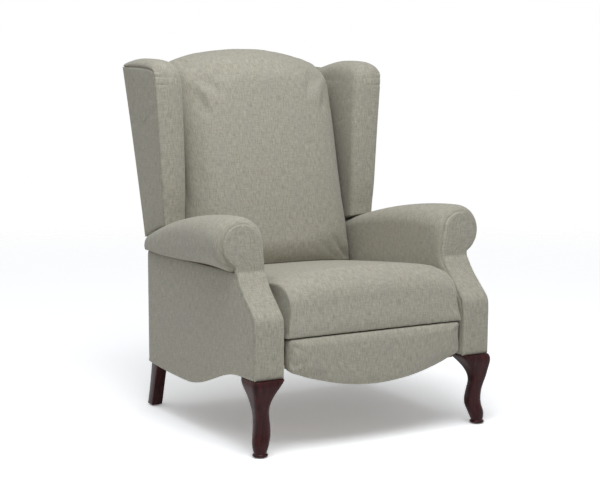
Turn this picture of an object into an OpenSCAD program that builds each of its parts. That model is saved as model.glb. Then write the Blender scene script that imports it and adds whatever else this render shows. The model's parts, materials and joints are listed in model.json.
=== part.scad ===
// High-leg wing recliner: a hardwood frame with rolled arms and wings, cabriole front legs,
// a hinged back, a seat that slides forward and a footrest on folding scissor links.
// X runs across the chair, Y towards the back and Z up. Left is the side at negative X.

/* [Arms] */
// Width across the outer faces of the two arms
arm_span = 760; // [720:5:820]
// Width of one arm between its inner and its outer face
arm_width = 92; // [86:1:100]
// Depth from the front of the arms to their back edge
arm_depth = 677; // [665:1:690]
// Height of the top of the arm roll behind its front end
arm_height = 624; // [615:1:640]
// Height of the top of the arm roll above its underside
roll_rise = 146; // [140:1:154]
// Radius of the arm roll at the front
roll_r = 75.5; // [70:0.5:78]
// Radius of the arm roll at the back
roll_rear_r = 52; // [46:0.5:54]
// How far the top of the roll falls from front to back
roll_fall = 97; // [85:1:105]
// Radius of the flat scroll at the front of the roll
scroll_r = 57; // [50:0.5:62]
// Distance from the front of the arm back to the scroll
scroll_setback = 104; // [90:1:120]
// Height at which the front of the arm starts to slope back
slope_start = 345; // [330:1:365]
// Thickness of the padded facing on the front of the arm
facing_t = 8; // [5:0.5:12]
// Thickness of the covered panel on the outside of the arm
side_panel_t = 8; // [5:0.5:10]
// Thickness of the pad on the inside of the arm
inner_pad_t = 12; // [9:0.5:12]
// Thickness of the plywood board in the arm
arm_board_t = 18; // [15:1:22]
// How far the lower edge of the side panel drops between the legs
scallop_drop = 73; // [50:1:80]

/* [Legs] */
// Height of the underside of the arms above the floor
leg_height = 205; // [190:1:215]
// Width of the foot of a front leg
foot_w = 42; // [36:1:48]
// Width of the square block at the top of a front leg
knee_w = 82; // [74:1:86]
// Thickness of a rear leg
rear_leg_w = 34; // [28:1:40]
// How far a rear leg kicks back at the floor
rear_kick = 42; // [20:1:60]
// Thickness of the glide under each leg
glide_t = 3; // [2:0.5:5]
// Radius of the hanger bolt that holds each leg
leg_bolt_r = 4; // [3:0.5:5]

/* [Seat] */
// Gap between the seat cushion and the inner face of each arm
seat_arm_gap = 5; // [4:0.5:10]
// Distance from the back of the seat cushion to the back edge of the arms
seat_rear_gap = 77; // [70:1:90]
// Height of the underside of the seat cushion
seat_underside = 308; // [300:1:312]
// Height of the side of the seat cushion behind its rounded front
seat_side_z = 447; // [435:1:452]
// How far the crown of the seat stands above its sides
seat_crown = 27; // [10:1:32]
// Fall of the seat from front to back for each unit of depth
seat_fall_share = 0.068; // [0.05:0.002:0.09]
// Height of the wooden rails of the seat frame
seat_rail_h = 40; // [30:1:42]
// Thickness of the wooden rails of the seat frame
seat_rail_t = 25; // [20:1:30]

/* [Back] */
// Angle of the back from upright at rest
back_rake = 13.4; // [12.5:0.1:14.5]
// Gap on each side between the back cushion and the line of the arm's inner face
back_side_gap = 5; // [4:0.5:12]
// Length of the back cushion up the rake, to the top of its arch
back_top = 688; // [668:1:698]
// Distance of the side of the cushion's front in front of the outside back
back_side_t = 155; // [145:1:165]
// How far the crown of the back stands in front of its sides
back_crown = 42; // [20:1:48]
// Thickness of the back posts across the chair
post_w = 37.5; // [30:0.5:42]
// Depth of the back posts
post_d = 40; // [34:1:42]
// Thickness of the covered panel on the outside of the back
back_panel_t = 8; // [5:0.5:9]

/* [Wings] */
// Length of the wings up the rake, from the level of the hinge
wing_top = 641; // [630:1:650]
// Greatest depth of a wing in front of the outside back
wing_depth = 248; // [235:1:255]
// How far the outer face of a wing stands in from the arm's outer face at its lower end
wing_low_inset = 16; // [10:1:22]
// How far the outer face of a wing leans out past the arm's outer face near its top
wing_lean_out = 11; // [0:1:15]
// How far the inner face of a wing stands outside the line of the arm's inner face
wing_side_gap = 6; // [2:1:10]
// Distance from the top of the arm roll down to the level of the wings' lower end
wing_drop = 93; // [90:1:96]
// Thickness of the board in a wing
wing_board_t = 18; // [12:1:20]
// Thickness of the covered panel on the outside of a wing
wing_panel_t = 8; // [5:0.5:9]

/* [Footrest] */
// Gap between the footrest and the inner face of each arm
footrest_gap = 8; // [6:0.5:16]
// Height of the lowest point of the footrest's curved lower edge
footrest_low_z = 156; // [150:1:170]
// How far the lower edge rises from the middle to the ends
footrest_arc = 63; // [40:1:66]
// Thickness of the footrest's padding
footrest_pad_t = 28; // [22:1:30]
// Thickness of the footrest board
footrest_board_t = 15; // [12:0.5:16]

/* [Mechanism] */
// Angle through which the back reclines
recline_angle = 30; // [20:1:30]
// Distance that the seat slides forward
seat_travel = 63; // [50:1:63]
// Slope of the seat tracks, rising to the front
seat_slope = 10; // [8:1:11]
// Distance between the end pins of a scissor link
link_pitch = 110; // [106:1:112]
// Angle between a folded link and the row of upper pins
link_folded_angle = 68; // [66:1:69]
// Rise of the row of upper pins to the front
chain_slope = 4; // [3:0.5:5]
// Thickness of a scissor link
link_t = 3; // [2.5:0.1:3.2]
// Half width of a scissor link
link_half_w = 8; // [7:0.5:8.5]
// Radius of the pins of the scissor links
pin_r = 4; // [3:0.1:4.5]
// Radius of the bolt that the back turns on
back_bolt_r = 6; // [5:0.1:7]
// Thickness of the steel plates of the seat and the back
plate_t = 4; // [3:0.5:4.5]

/* [Hidden] */

left = -1;
right = 1;
$fn = 48;
// Gap that a saw cut or a seam leaves between neighbouring pieces
joint_gap = 0.3;
// Overrun of every cut past the surface that it goes through
cut = 1;
fabric = [0.62, 0.61, 0.57];
mahogany = [0.2, 0.07, 0.06];
hardwood = [0.72, 0.56, 0.38];
plywood = [0.8, 0.67, 0.48];
steel = [0.45, 0.46, 0.48];
nylon = [0.85, 0.85, 0.82];

// Places of the arm, worked out from its sizes
arm_out = arm_span / 2;
arm_in = arm_out - arm_width;
board_in = arm_in + inner_pad_t;
board_out = board_in + arm_board_t;
panel_in = arm_out - side_panel_t;
roll_bottom = arm_height - roll_rise;
// Points of the sloping front of the arm as shares of the setback and of the slope's height
slope_shares = [[0, 0], [0.058, 0.18], [0.346, 0.406], [0.712, 0.692], [1, 1]];
post_front_d = 46;
post_rear_d = 42;
rail_h = 38;
board_step_y = 86;
board_step_z = 20;
pad_lap_y = 60;
pad_rear_inset = 102;
pad_rear_y = arm_depth - pad_rear_inset;
roll_round = 18;
roll_peak_y = scroll_setback + facing_t + roll_round;
roll_lap = 2;
scroll_inset = 22;
roll_inset = 20;
roll_inner_x = arm_in - roll_lap;
scroll_x = arm_out - scroll_inset;
roll_x = arm_out - roll_inset;
roll_rear_x = roll_inner_x + roll_rear_r - roll_lap;

// Places of the legs
foot_inset = 23;
foot_x = arm_out - foot_inset;
foot_y = 17;
rear_leg_y = arm_depth - side_panel_t;
rear_leg_inset = 12;
rear_leg_x = arm_out - rear_leg_inset - rear_leg_w / 2;
rear_flare = 50;
bolt_reach = 40;
glide_r = 14;

// Places of the back, whose own frame has its origin below the outside back at hinge height
hinge_inset = 22;
hinge_y = arm_depth - hinge_inset;
hinge_z = 400;
back_setback = 37.5;
back_y = hinge_y + back_setback;
back_half_w = arm_in - back_side_gap;
seat_gap_z = 38;
post_gap = 19.5;
post_out = board_in - post_gap;
post_in = post_out - post_w;
post_low = 30;
post_top = 575;
pad_rear_gap = 3;
pad_rear_t = post_d + back_panel_t + pad_rear_gap;
wing_low = arm_height - wing_drop - hinge_z;
wing_low_fall = 9;
wing_low_rear = wing_low - wing_low_fall;
wing_low_x = arm_out - wing_low_inset;
wing_high_x = arm_out + wing_lean_out;
wing_inner_x = arm_in + wing_side_gap;
// Share of the wings' length at which they reach their outer half width
wing_high_share = 0.83;
flare = atan((wing_high_x - wing_low_x) / (wing_high_share * wing_top - wing_low));
panel_low = 8;
panel_rise = 21;
panel_top = wing_top + panel_rise;
front_y = -12;
rear_y = back_y + panel_top * sin(back_rake);
centre_y = (front_y + rear_y) / 2;

// Layers of the mechanism, from the arm inwards
boss_gap = 15.2;
bracket_boss_x = board_in - boss_gap;
back_plate_x = post_out;
slide_gap = 28;
slide_x = board_in - slide_gap;
layer_gap = 1.5;
link_outer_x = slide_x - layer_gap - link_t;
link_inner_x = link_outer_x - layer_gap - link_t;
footrest_plate_x = link_inner_x - layer_gap - link_t;
rail_gap = 17;
rail_half_w = slide_x - rail_gap;
guide_x = rail_half_w;
guide_t = 5;
pin_clearance = 0.1;
pin_reach = 0.6;

// The scissor: upper pins, lower pins and crossings, folded, seen from the side
chain_y = 199;
chain_z = 282;
slide_half_h = 18;
slide_z = 277;
slide_front_reach = 14;
slide_front_y = chain_y - slide_front_reach;
slide_rear_inset = 10;
slide_rear_y = arm_depth - slide_rear_inset;
drive_drop = 126;
drive_r = 5;
drive_slack = 1.4;
slot_l = 7.5;
track_front_y = 300;
track_rear_inset = 147;
track_rear_y = arm_depth - track_rear_inset;
block_l = 40;
block_h = 20;
flange_t = 3;
track_web_t = 4;
track_clearance = 0.3;
track_stop = 5;

function chain_dir() = [-cos(chain_slope), sin(chain_slope)];
function chain_down() = [-sin(chain_slope), -cos(chain_slope)];
function upper_pin(k) = [chain_y, chain_z] + k * link_pitch * cos(link_folded_angle) * chain_dir();
function lower_pin(k) = upper_pin(k) + link_pitch * sin(link_folded_angle) * chain_down();
function crossing(k) = (upper_pin(k - 1) + lower_pin(k)) / 2;

// Helpers shared by the pieces
module placed(side = right) {
    translate([0, -centre_y, 0])
        mirror([side < 0 ? 1 : 0, 0, 0])
            children();
}

// Stands the children in the raked frame of the back
module raked() {
    translate([0, back_y, hinge_z])
        rotate([-back_rake, 0, 0])
            children();
}

// Extrudes a side outline, drawn as [y, z], across the chair from x0 to x1
module across(x0, x1) {
    translate([x0, 0, 0])
        rotate([90, 0, 90])
            linear_extrude(x1 - x0)
                children();
}

// Extrudes a front outline, drawn as [x, z], from y0 back to y1
module deep(y0, y1) {
    translate([0, y1, 0])
        rotate([90, 0, 0])
            linear_extrude(y1 - y0)
                children();
}

// A box between two corners
module block(low, high) {
    translate(low)
        cube(high - low);
}

// A flat bar with round ends between two points
module bar(p, q, r) {
    d = q - p;
    translate(p)
        rotate(atan2(d[1], d[0]))
            union() {
                circle(r);
                translate([norm(d), 0])
                    circle(r);
                translate([0, -r])
                    square([norm(d), 2 * r]);
            }
}

// A closed skin through rings of equal length, with flat ends
module loft(rings) {
    n = len(rings[0]);
    m = len(rings);
    middles = [for (r = [rings[0], rings[m - 1]]) [for (i = [0:2]) mean([for (p = r) p[i]])]];
    faces = concat(
        [for (j = [0:m - 2], i = [0:n - 1]) [j * n + i, j * n + (i + 1) % n, (j + 1) * n + i]],
        [for (j = [0:m - 2], i = [0:n - 1]) [j * n + (i + 1) % n, (j + 1) * n + (i + 1) % n, (j + 1) * n + i]],
        [for (i = [0:n - 1]) [m * n, (i + 1) % n, i]],
        [for (i = [0:n - 1]) [m * n + 1, (m - 1) * n + i, (m - 1) * n + (i + 1) % n]]
    );
    polyhedron(concat([for (r = rings) each r], middles), faces);
}
function total(v, i = 0) = i == len(v) ? 0 : v[i] + total(v, i + 1);
function mean(v) = total(v) / len(v);

// A quarter of a superellipse about a centre, from angle a0 to a1
function corner(c, rx, ry, a0, a1, steps, fullness) = [
    for (k = [0:steps])
        let (a = a0 + (a1 - a0) * k / steps)
        [c[0] + rx * sign(cos(a)) * pow(abs(cos(a)), 2 / fullness),
         c[1] + ry * sign(sin(a)) * pow(abs(sin(a)), 2 / fullness)]
];

// How far a cushion's face is drawn in near its side, where r is the round of the edge
function drawn_in(x, half, r) =
    abs(x) < half - r ? 0 : r * (1 - sqrt(max(0, 1 - pow((abs(x) - half + r) / r, 2))));

// Stations across a cushion, closer together near its sides
function stations(half, steps) = [for (k = [-steps:steps]) half * sin(90 * k / steps)];

// Side outlines of the arm
function slope_points(shift) = [
    for (p = slope_shares)
        [shift + p[0] * scroll_setback, slope_start + p[1] * (roll_bottom - slope_start)]
];
// Shares of the lower edge: where it is lowest along the arm, and how far it rises again behind that
scallop_low_share = 0.6;
scallop_rise_share = 0.16;
function scallop_z(y) =
    let (y0 = board_step_y, y1 = arm_depth * scallop_low_share)
    y < y0 ? leg_height
    : y < y1 ? leg_height - scallop_drop * (1 - cos(180 * (y - y0) / (y1 - y0))) / 2
    : leg_height - scallop_drop * (1 - scallop_rise_share * pow((y - y1) / (arm_depth - y1), 2));

module arm_board(side) {
    shift = facing_t + joint_gap;
    color(plywood)
        placed(side)
            across(board_in, board_out)
                polygon(concat(
                    [[shift, leg_height]],
                    slope_points(shift),
                    [[arm_depth - side_panel_t, roll_bottom],
                     [arm_depth - side_panel_t, leg_height - board_step_z],
                     [board_step_y, leg_height - board_step_z],
                     [board_step_y, leg_height]]
                ));
}

module arm_front_posts() {
    shift = facing_t + joint_gap;
    color(hardwood)
        for (side = [left, right])
            placed(side)
                block([board_out, shift, leg_height], [panel_in, shift + post_front_d, slope_start]);
}

module arm_rear_posts() {
    y1 = arm_depth - side_panel_t;
    color(hardwood)
        for (side = [left, right])
            placed(side)
                block([board_out, y1 - post_rear_d, leg_height], [panel_in, y1, roll_bottom]);
}

module arm_top_rails() {
    y0 = scroll_setback + facing_t + joint_gap;
    y1 = arm_depth - side_panel_t - post_rear_d;
    color(hardwood)
        for (side = [left, right])
            placed(side)
                block([board_out, y0, roll_bottom - rail_h], [panel_in, y1, roll_bottom]);
}

// The roll is round in front and fuller at the back, with a flat underside, and its top falls in a curve
roll_full_shares = [2, 1.5];
function roll_blend(y) = max(0, (y - roll_peak_y) / (arm_depth - roll_peak_y));
function roll_top(y) = arm_height - roll_fall * pow(roll_blend(y), 2);
function roll_ring(y, r, x, z) =
    let (full = roll_full_shares[0] + roll_full_shares[1] * roll_blend(y), low = roll_bottom + joint_gap - z)
    let (a0 = sign(low) * asin(pow(min(1, abs(low) / r), full / 2)), steps = 18)
    concat(
        [for (k = [0:steps])
            let (a = a0 + (180 - a0) * k / steps)
            [max(roll_inner_x, x + r * sign(cos(a)) * pow(abs(cos(a)), 2 / full)), y,
             max(roll_bottom + joint_gap, z + r * sign(sin(a)) * pow(abs(sin(a)), 2 / full))]],
        [[arm_in, y, roll_bottom + joint_gap]]
    );

module arm_roll(side) {
    y0 = scroll_setback + facing_t + joint_gap;
    front = [
        for (k = [0:4])
            let (a = 90 * k / 4, r = scroll_r + (roll_r - scroll_r) * sin(a))
            roll_ring(y0 + roll_round * (1 - cos(a)), r, scroll_x + (roll_x - scroll_x) * sin(a), arm_height - roll_r)
    ];
    body = [
        for (k = [1:12])
            let (y = y0 + roll_round + (arm_depth - y0 - roll_round) * k / 12, b = roll_blend(y))
            let (r = roll_r + (roll_rear_r - roll_r) * b)
            roll_ring(y, r, roll_x + (roll_rear_x - roll_x) * b, roll_top(y) - r)
    ];
    color(fabric)
        placed(side)
            loft(concat(front, body));
}

module outside_arm_panel(side) {
    shift = facing_t + joint_gap;
    steps = 20;
    color(fabric)
        placed(side)
            across(panel_in, arm_out)
                polygon(concat(
                    slope_points(shift),
                    [[arm_depth, roll_bottom]],
                    [for (k = [steps:-1:0])
                        let (y = shift + (arm_depth - shift) * k / steps)
                        [y, scallop_z(y)]]
                ));
}

module inside_arm_pad(side) {
    shift = facing_t + joint_gap;
    color(fabric)
        placed(side)
            across(arm_in, board_in)
                polygon(concat(
                    [[shift, leg_height]],
                    slope_points(shift),
                    [[pad_rear_y, roll_bottom],
                     [pad_rear_y, seat_underside + facing_t],
                     [pad_lap_y, seat_underside + facing_t],
                     [pad_lap_y, leg_height]]
                ));
}

module arm_facing(side) {
    z = arm_height - roll_r;
    color(fabric)
        placed(side)
            intersection() {
                across(arm_in, arm_out + roll_r)
                    polygon(concat(
                        [[0, leg_height]],
                        slope_points(0),
                        [[scroll_setback, arm_height]],
                        [[scroll_setback + facing_t, arm_height]],
                        [for (k = [len(slope_shares) - 1:-1:0]) slope_points(facing_t)[k]],
                        [[facing_t, leg_height]]
                    ));
                deep(-cut, scroll_setback + facing_t + cut)
                    union() {
                        polygon([
                            [arm_in, leg_height],
                            [arm_out, leg_height],
                            [arm_out, z],
                            [scroll_x - scroll_r + cut, z],
                            [arm_in, roll_bottom]
                        ]);
                        translate([scroll_x, z])
                            circle(scroll_r);
                    }
            }
}

// Front leg: rings of rounded squares. Each row holds shares: of the height, of the way from
// the foot's width to the knee's, of the foot's width, and of the knee's diagonal set-back
leg_shares = [
    [0.015, 0, 1, 0], [0.039, 0, 1, 0], [0.055, 0, 0.79, 0], [0.078, 0, 0.8, 0], [0.13, 0, 1, 0.07],
    [0.205, 0, 1.15, 0.19], [0.283, 0, 1.08, 0.45], [0.361, 0, 1.03, 0.53], [0.437, 0, 1.01, 0.465],
    [0.512, 0, 0.99, 0.35], [0.59, 0, 1, 0.165], [0.668, 0.054, 1, 0.057], [0.741, 0.2, 1, 0.08],
    [0.82, 0.43, 1, 0.22], [0.898, 0.675, 1, 0.457], [0.951, 0.84, 1, 0.68], [1, 1, 1, 1]
];
// Fullness of the leg's section at the foot, and what the knee adds to it
leg_full_shares = [2.5, 3.5];
knee_setback = 20;
leg_sides = 24;
function leg_ring(s) =
    let (half = foot_w / 2 * s[2] * (1 - s[1]) + knee_w / sqrt(2) * s[1], full = leg_full_shares[0] + leg_full_shares[1] * s[1])
    let (w = half / pow(2, 0.5 - 1 / full), d = knee_setback * s[3])
    [for (k = [0:leg_sides - 1])
        let (a = 360 * (k + 0.5) / leg_sides)
        [foot_x - d + w * sign(cos(a)) * pow(abs(cos(a)), 2 / full),
         foot_y + d + w * sign(sin(a)) * pow(abs(sin(a)), 2 / full),
         max(glide_t, leg_height * s[0])]];

module front_leg(side) {
    color(mahogany)
        placed(side)
            loft([for (s = leg_shares) leg_ring(s)]);
}

// Rear leg: a square post that curves back towards the floor and widens forward at its top
function kick_y(z) = rear_kick * pow(1 - z / leg_height, 1.6);
function flare_y(z) = rear_flare * pow(z / leg_height, 4);
module rear_leg(side) {
    steps = 8;
    zs = [for (k = [0:steps]) glide_t + (leg_height - glide_t) * k / steps];
    color(mahogany)
        placed(side)
            across(rear_leg_x - rear_leg_w / 2, rear_leg_x + rear_leg_w / 2)
                polygon(concat(
                    [for (z = zs) [rear_leg_y + kick_y(z), z]],
                    [for (k = [steps:-1:0]) [rear_leg_y - rear_leg_w + kick_y(zs[k]) - flare_y(zs[k]), zs[k]]]
                ));
}

module leg_bolts() {
    color(steel)
        for (side = [left, right])
            placed(side) {
                translate([foot_x - knee_setback, foot_y + knee_setback, leg_height - bolt_reach])
                    cylinder(r = leg_bolt_r, h = 2 * bolt_reach);
                translate([rear_leg_x, rear_leg_y - rear_leg_w / 2, leg_height - bolt_reach])
                    cylinder(r = leg_bolt_r, h = 2 * bolt_reach);
            }
}

module leg_glides() {
    color(nylon)
        for (side = [left, right])
            placed(side) {
                translate([foot_x, foot_y, 0])
                    cylinder(r = glide_r, h = glide_t);
                translate([rear_leg_x, rear_leg_y + kick_y(glide_t) - rear_leg_w / 2, 0])
                    cylinder(r = glide_r, h = glide_t);
            }
}

cross_rail_y = 230;
rear_rail_inset = 37;
rear_rail_y = arm_depth - rear_rail_inset;
base_rail_t = 22;
base_rail_h = 45;
module base_rail(y) {
    z = leg_height - board_step_z;
    color(hardwood)
        placed()
            block([-board_in, y, z], [board_in, y + base_rail_t, z + base_rail_h]);
}

lower_panel_gap = 6;
module lower_rear_panel() {
    y1 = arm_depth;
    x = panel_in - joint_gap;
    color(fabric)
        placed()
            block([-x, y1 - side_panel_t + joint_gap, leg_height], [x, y1, hinge_z - lower_panel_gap]);
}

// A steel channel along the slope that holds one nylon block
module track() {
    y0 = -seat_travel - block_l / 2 - track_stop;
    y1 = block_l / 2 + track_stop;
    h = block_h / 2 + track_clearance;
    block([board_in - track_web_t, y0, -h - flange_t], [board_in, y1, h + flange_t]);
    for (s = [left, right])
        block([slide_x + plate_t + flange_t, y0, s * (h + flange_t / 2) - flange_t / 2],
              [board_in - track_web_t + cut, y1, s * (h + flange_t / 2) + flange_t / 2]);
}

module at_track(y) {
    translate([0, y, slide_z])
        rotate([-seat_slope, 0, 0])
            children();
}

module seat_tracks() {
    color(steel)
        for (side = [left, right], y = [track_front_y, track_rear_y])
            placed(side)
                at_track(y)
                    track();
}

module glide_blocks() {
    color(nylon)
        for (side = [left, right], y = [track_front_y, track_rear_y])
            placed(side)
                at_track(y)
                    block([slide_x + plate_t, -block_l / 2, -block_h / 2],
                          [board_in - track_web_t - joint_gap, block_l / 2, block_h / 2]);
}

boss_r = 14;
pivot_plate_half = 24;
module back_pivot_bracket(side) {
    color(steel)
        placed(side)
            difference() {
                union() {
                    block([board_in - track_web_t, hinge_y - pivot_plate_half, hinge_z - pivot_plate_half],
                          [board_in, arm_depth - side_panel_t - cut, hinge_z + pivot_plate_half]);
                    translate([bracket_boss_x, hinge_y, hinge_z])
                        rotate([0, 90, 0])
                            cylinder(r = boss_r, h = board_in - bracket_boss_x);
                }
                translate([bracket_boss_x - cut, hinge_y, hinge_z])
                    rotate([0, 90, 0])
                        cylinder(r = back_bolt_r, h = board_in - bracket_boss_x + 2 * cut);
            }
}

bolt_head_r = 10;
bolt_head_t = 3.6;
module back_pivot_bolts() {
    head_x = back_plate_x - joint_gap;
    color(steel)
        for (side = [left, right])
            placed(side)
                translate([head_x, hinge_y, hinge_z])
                    rotate([0, 90, 0])
                        union() {
                            cylinder(r = back_bolt_r, h = board_in - head_x);
                            translate([0, 0, -bolt_head_t])
                                cylinder(r = bolt_head_r, h = bolt_head_t);
                        }
}

// Seat frame, springs and cushion
spring_h = 4.2;
seat_rail_top = seat_underside - joint_gap - spring_h;
seat_rail_front_y = 45;
seat_rail_rear_inset = 92;
seat_rail_rear_y = arm_depth - seat_rail_rear_inset;
side_rail_t = 30;
side_rail_step_y = 230;
module seat_cross_rail(y) {
    color(hardwood)
        placed()
            block([-rail_half_w, y, seat_rail_top - seat_rail_h], [rail_half_w, y + seat_rail_t, seat_rail_top]);
}

module seat_side_rails() {
    y0 = seat_rail_front_y + seat_rail_t;
    y1 = seat_rail_rear_y - seat_rail_t;
    color(hardwood)
        for (side = [left, right])
            placed(side)
                translate([0, 0, seat_rail_top - seat_rail_h])
                    linear_extrude(seat_rail_h)
                        polygon([
                            [rail_half_w - side_rail_t, y0],
                            [rail_half_w, y0],
                            [rail_half_w, side_rail_step_y],
                            [slide_x, side_rail_step_y],
                            [slide_x, y1],
                            [rail_half_w - side_rail_t, y1]
                        ]);
}

module seat_slide(side) {
    slot_foot = [hinge_y - drive_slack * 0.7, hinge_z - drive_drop - drive_slack];
    color(steel)
        placed(side)
            union() {
                across(slide_x, slide_x + plate_t)
                    difference() {
                        bar([slide_front_y + slide_half_h, slide_z], [slide_rear_y - slide_half_h, slide_z],
                            slide_half_h);
                        // Upright slot that lets the pin of the back push the seat forward
                        bar(slot_foot, slot_foot + [0, slot_l], drive_r + drive_slack);
                    }
                translate([link_outer_x - pin_reach, chain_y, chain_z])
                    rotate([0, 90, 0])
                        cylinder(r = pin_r, h = slide_x - link_outer_x + pin_reach + cut);
            }
}

// Plates with a slot in which the first lower pin of the scissor slides
link_open_angle = 12;
guide_half_w = 13;
guide_end = 8;
module scissor_guides() {
    low = lower_pin(0);
    high = [chain_y, chain_z] + link_pitch * sin(link_open_angle) * chain_down();
    color(steel)
        for (side = [left, right])
            placed(side)
                across(guide_x, guide_x + guide_t)
                    difference() {
                        bar(low, high + guide_end * [0, 1], guide_half_w);
                        bar(low, high, pin_r + pin_clearance);
                    }
}

spring_count = 5;
spring_pitch = 90;
spring_swing = 22;
spring_wire = 4;
spring_bend_count = 16;
// One zigzag wire of flat bends, drawn along the second axis
module zigzag(length, bends) {
    h = spring_wire / 2;
    polygon(concat(
        [for (k = [0:bends]) [(k % 2 == 0 ? -1 : 1) * spring_swing - h, length * k / bends]],
        [for (k = [bends:-1:0]) [(k % 2 == 0 ? -1 : 1) * spring_swing + h, length * k / bends]]
    ));
}

module seat_springs() {
    length = seat_rail_rear_y - seat_rail_front_y;
    color(steel)
        placed()
            for (k = [0:spring_count - 1])
                translate([(k - (spring_count - 1) / 2) * spring_pitch, seat_rail_front_y, seat_rail_top])
                    linear_extrude(spring_h)
                        zigzag(length, spring_bend_count);
}

seat_front_y = -6;
seat_half_w = arm_in - seat_arm_gap;
seat_depth = arm_depth - seat_rear_gap - seat_front_y;
seat_round_y = 91;
seat_round_z = 90;
seat_edge_r = 20;
seat_rear_round = 14;
function seat_height(x, y) =
    seat_side_z - seat_fall_share * (y - seat_front_y - seat_round_y)
    + seat_crown * (1 - pow(abs(x) / seat_half_w, 3)) * (1 - 0.7 * pow(max(0, y) / seat_depth, 2));
function seat_ring(x) =
    let (e = drawn_in(x, seat_half_w, seat_edge_r))
    let (y0 = seat_front_y + e * 0.6, y1 = seat_front_y + seat_depth, r = seat_round_y)
    let (top = seat_height(x, y0 + r) - e)
    [for (p = concat(
        [[y1, seat_underside], [y0 + facing_t, seat_underside], [y0, seat_underside + facing_t]],
        corner([y0 + r, top - seat_round_z], r, seat_round_z, 180, 90, 7, 2.4),
        [for (k = [1:7])
            let (y = y0 + r + (y1 - seat_rear_round - y0 - r) * k / 7)
            [y, seat_height(x, y) - e]],
        [[y1, seat_height(x, y1) - e - seat_rear_round]]
    )) [x, p[0], p[1]]];

module seat_cushion() {
    color(fabric)
        placed()
            loft([for (x = stations(seat_half_w, 10)) seat_ring(x)]);
}

// Back frame
module back_post(side) {
    color(hardwood)
        placed(side)
            raked()
                block([post_in, -post_d - back_panel_t, post_low], [post_out, -back_panel_t, post_top]);
}

rail_d = 22;
top_rail_low = 540;
top_rail_side = 585;
top_rail_mid = 640;
function top_rail_z(x) =
    top_rail_side + (top_rail_mid - top_rail_side) * cos(90 * min(1, abs(x) / post_in));
module back_top_rail() {
    steps = 12;
    color(hardwood)
        placed()
            raked()
                deep(-post_d - back_panel_t, -post_d - back_panel_t + rail_d)
                    polygon(concat(
                        [[post_in, top_rail_low], [-post_in, top_rail_low]],
                        [for (k = [-steps:steps])
                            [post_in * k / steps, top_rail_z(post_in * k / steps)]]
                    ));
}

bottom_rail_h = 50;
bottom_rail_lift = 2;
module back_bottom_rail() {
    y0 = -post_d - back_panel_t;
    color(hardwood)
        placed()
            raked()
                block([-post_in, y0, post_low + bottom_rail_lift], [post_in, y0 + rail_d, post_low + bottom_rail_h]);
}

back_spring_t = 2.7;
module back_springs() {
    z0 = post_low + bottom_rail_h / 2;
    y1 = -post_d - back_panel_t;
    color(steel)
        placed()
            raked()
                for (k = [0:spring_count - 1])
                    translate([(k - (spring_count - 1) / 2) * spring_pitch, 0, z0])
                        deep(y1 - back_spring_t, y1)
                            zigzag(top_rail_low + rail_d - z0, spring_bend_count);
}

arch_drop = 60;
arch_bow_share = 0.6;
back_edge_r = 22;
back_round = 92;
back_round_t = 155;
back_crest_gap = 20;
back_low_round = 45;
back_lip = 4;
function back_arch(x) =
    let (u = pow(x / back_half_w, 2))
    back_top - arch_drop * (arch_bow_share * u - (arch_bow_share - 1) * u * u);
function back_ring(x) =
    let (e = drawn_in(x, back_half_w, back_edge_r))
    let (t0 = -back_side_t - back_crown * (1 - pow(abs(x) / back_half_w, 2.6)) + e)
    let (top = back_arch(x) - e / 2, rs = back_round)
    let (rt = min(back_round_t, -t0 - back_panel_t - back_crest_gap))
    let (low = (seat_gap_z + t0 * sin(back_rake)) / cos(back_rake))
    let (rear_low = (seat_gap_z - pad_rear_t * sin(back_rake)) / cos(back_rake), over = top_rail_z(x) + cut)
    [for (p = concat(
        [[-pad_rear_t, rear_low]],
        corner([t0 + back_low_round * 0.6, low + back_low_round], back_low_round * 0.6, back_low_round, 270, 180, 4, 2),
        [for (k = [1:5]) [t0, low + back_low_round + (top - rs - low - back_low_round) * k / 6]],
        corner([t0 + rt, top - rs], rt, rs, 180, 90, 8, 2),
        [[-back_panel_t - joint_gap, top - back_lip], [-back_panel_t - joint_gap, over], [-pad_rear_t, over]]
    )) [x, p[0], p[1]]];

module back_cushion() {
    color(fabric)
        placed()
            raked()
                loft([for (x = stations(back_half_w, 10)) back_ring(x)]);
}

// Wings: the side outline in the back's frame, as shares of the wing's depth and length
wing_shares = [
    [0.58, 0], [0.66, 0.19], [0.754, 0.38], [0.86, 0.55], [0.952, 0.69], [0.99, 0.75], [1, 0.79], [0.985, 0.83],
    [0.94, 0.872], [0.86, 0.915], [0.75, 0.95], [0.58, 0.982], [0.3, 1]
];
wing_rear_lean = 38;
wing_turn_in = 37;
wing_turn_up = 30;
// How far a wing's board stays behind the padded front edge and below the padded top
wing_edge_front = 10;
wing_edge_top = 20;
function wing_point(p) = [-wing_depth * p[0], wing_low + (wing_top - wing_low) * p[1]];
// Depth of a wing's rear edge at a length up the rake
function wing_rear(s) =
    back_panel_t + joint_gap + wing_rear_lean * (s - wing_low_rear) / (wing_top - wing_low_rear);
module wing_outline() {
    polygon(concat(
        [[-wing_rear(wing_low_rear), wing_low_rear]],
        [for (p = wing_shares) wing_point(p)],
        [[-wing_rear(wing_top), wing_top]]
    ));
}

// A slab of a wing that leans out with the flare, from depth x0 to x1 inside the outer face
module wing_slab(x0, x1) {
    raked()
        translate([wing_low_x, 0, wing_low])
            rotate([0, flare, 0])
                translate([0, 0, -wing_low])
                    across(-x1, -x0)
                        children();
}

// Outer face of a wing, and the edge of the outside back, at a length up the rake
function wing_face(s) = wing_low_x + (s - wing_low) * tan(flare);
function back_edge(s) =
    wing_low_x + (wing_face(wing_top) - wing_turn_in - wing_low_x) * (s - wing_low_rear) / (wing_top - wing_low_rear);

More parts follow.
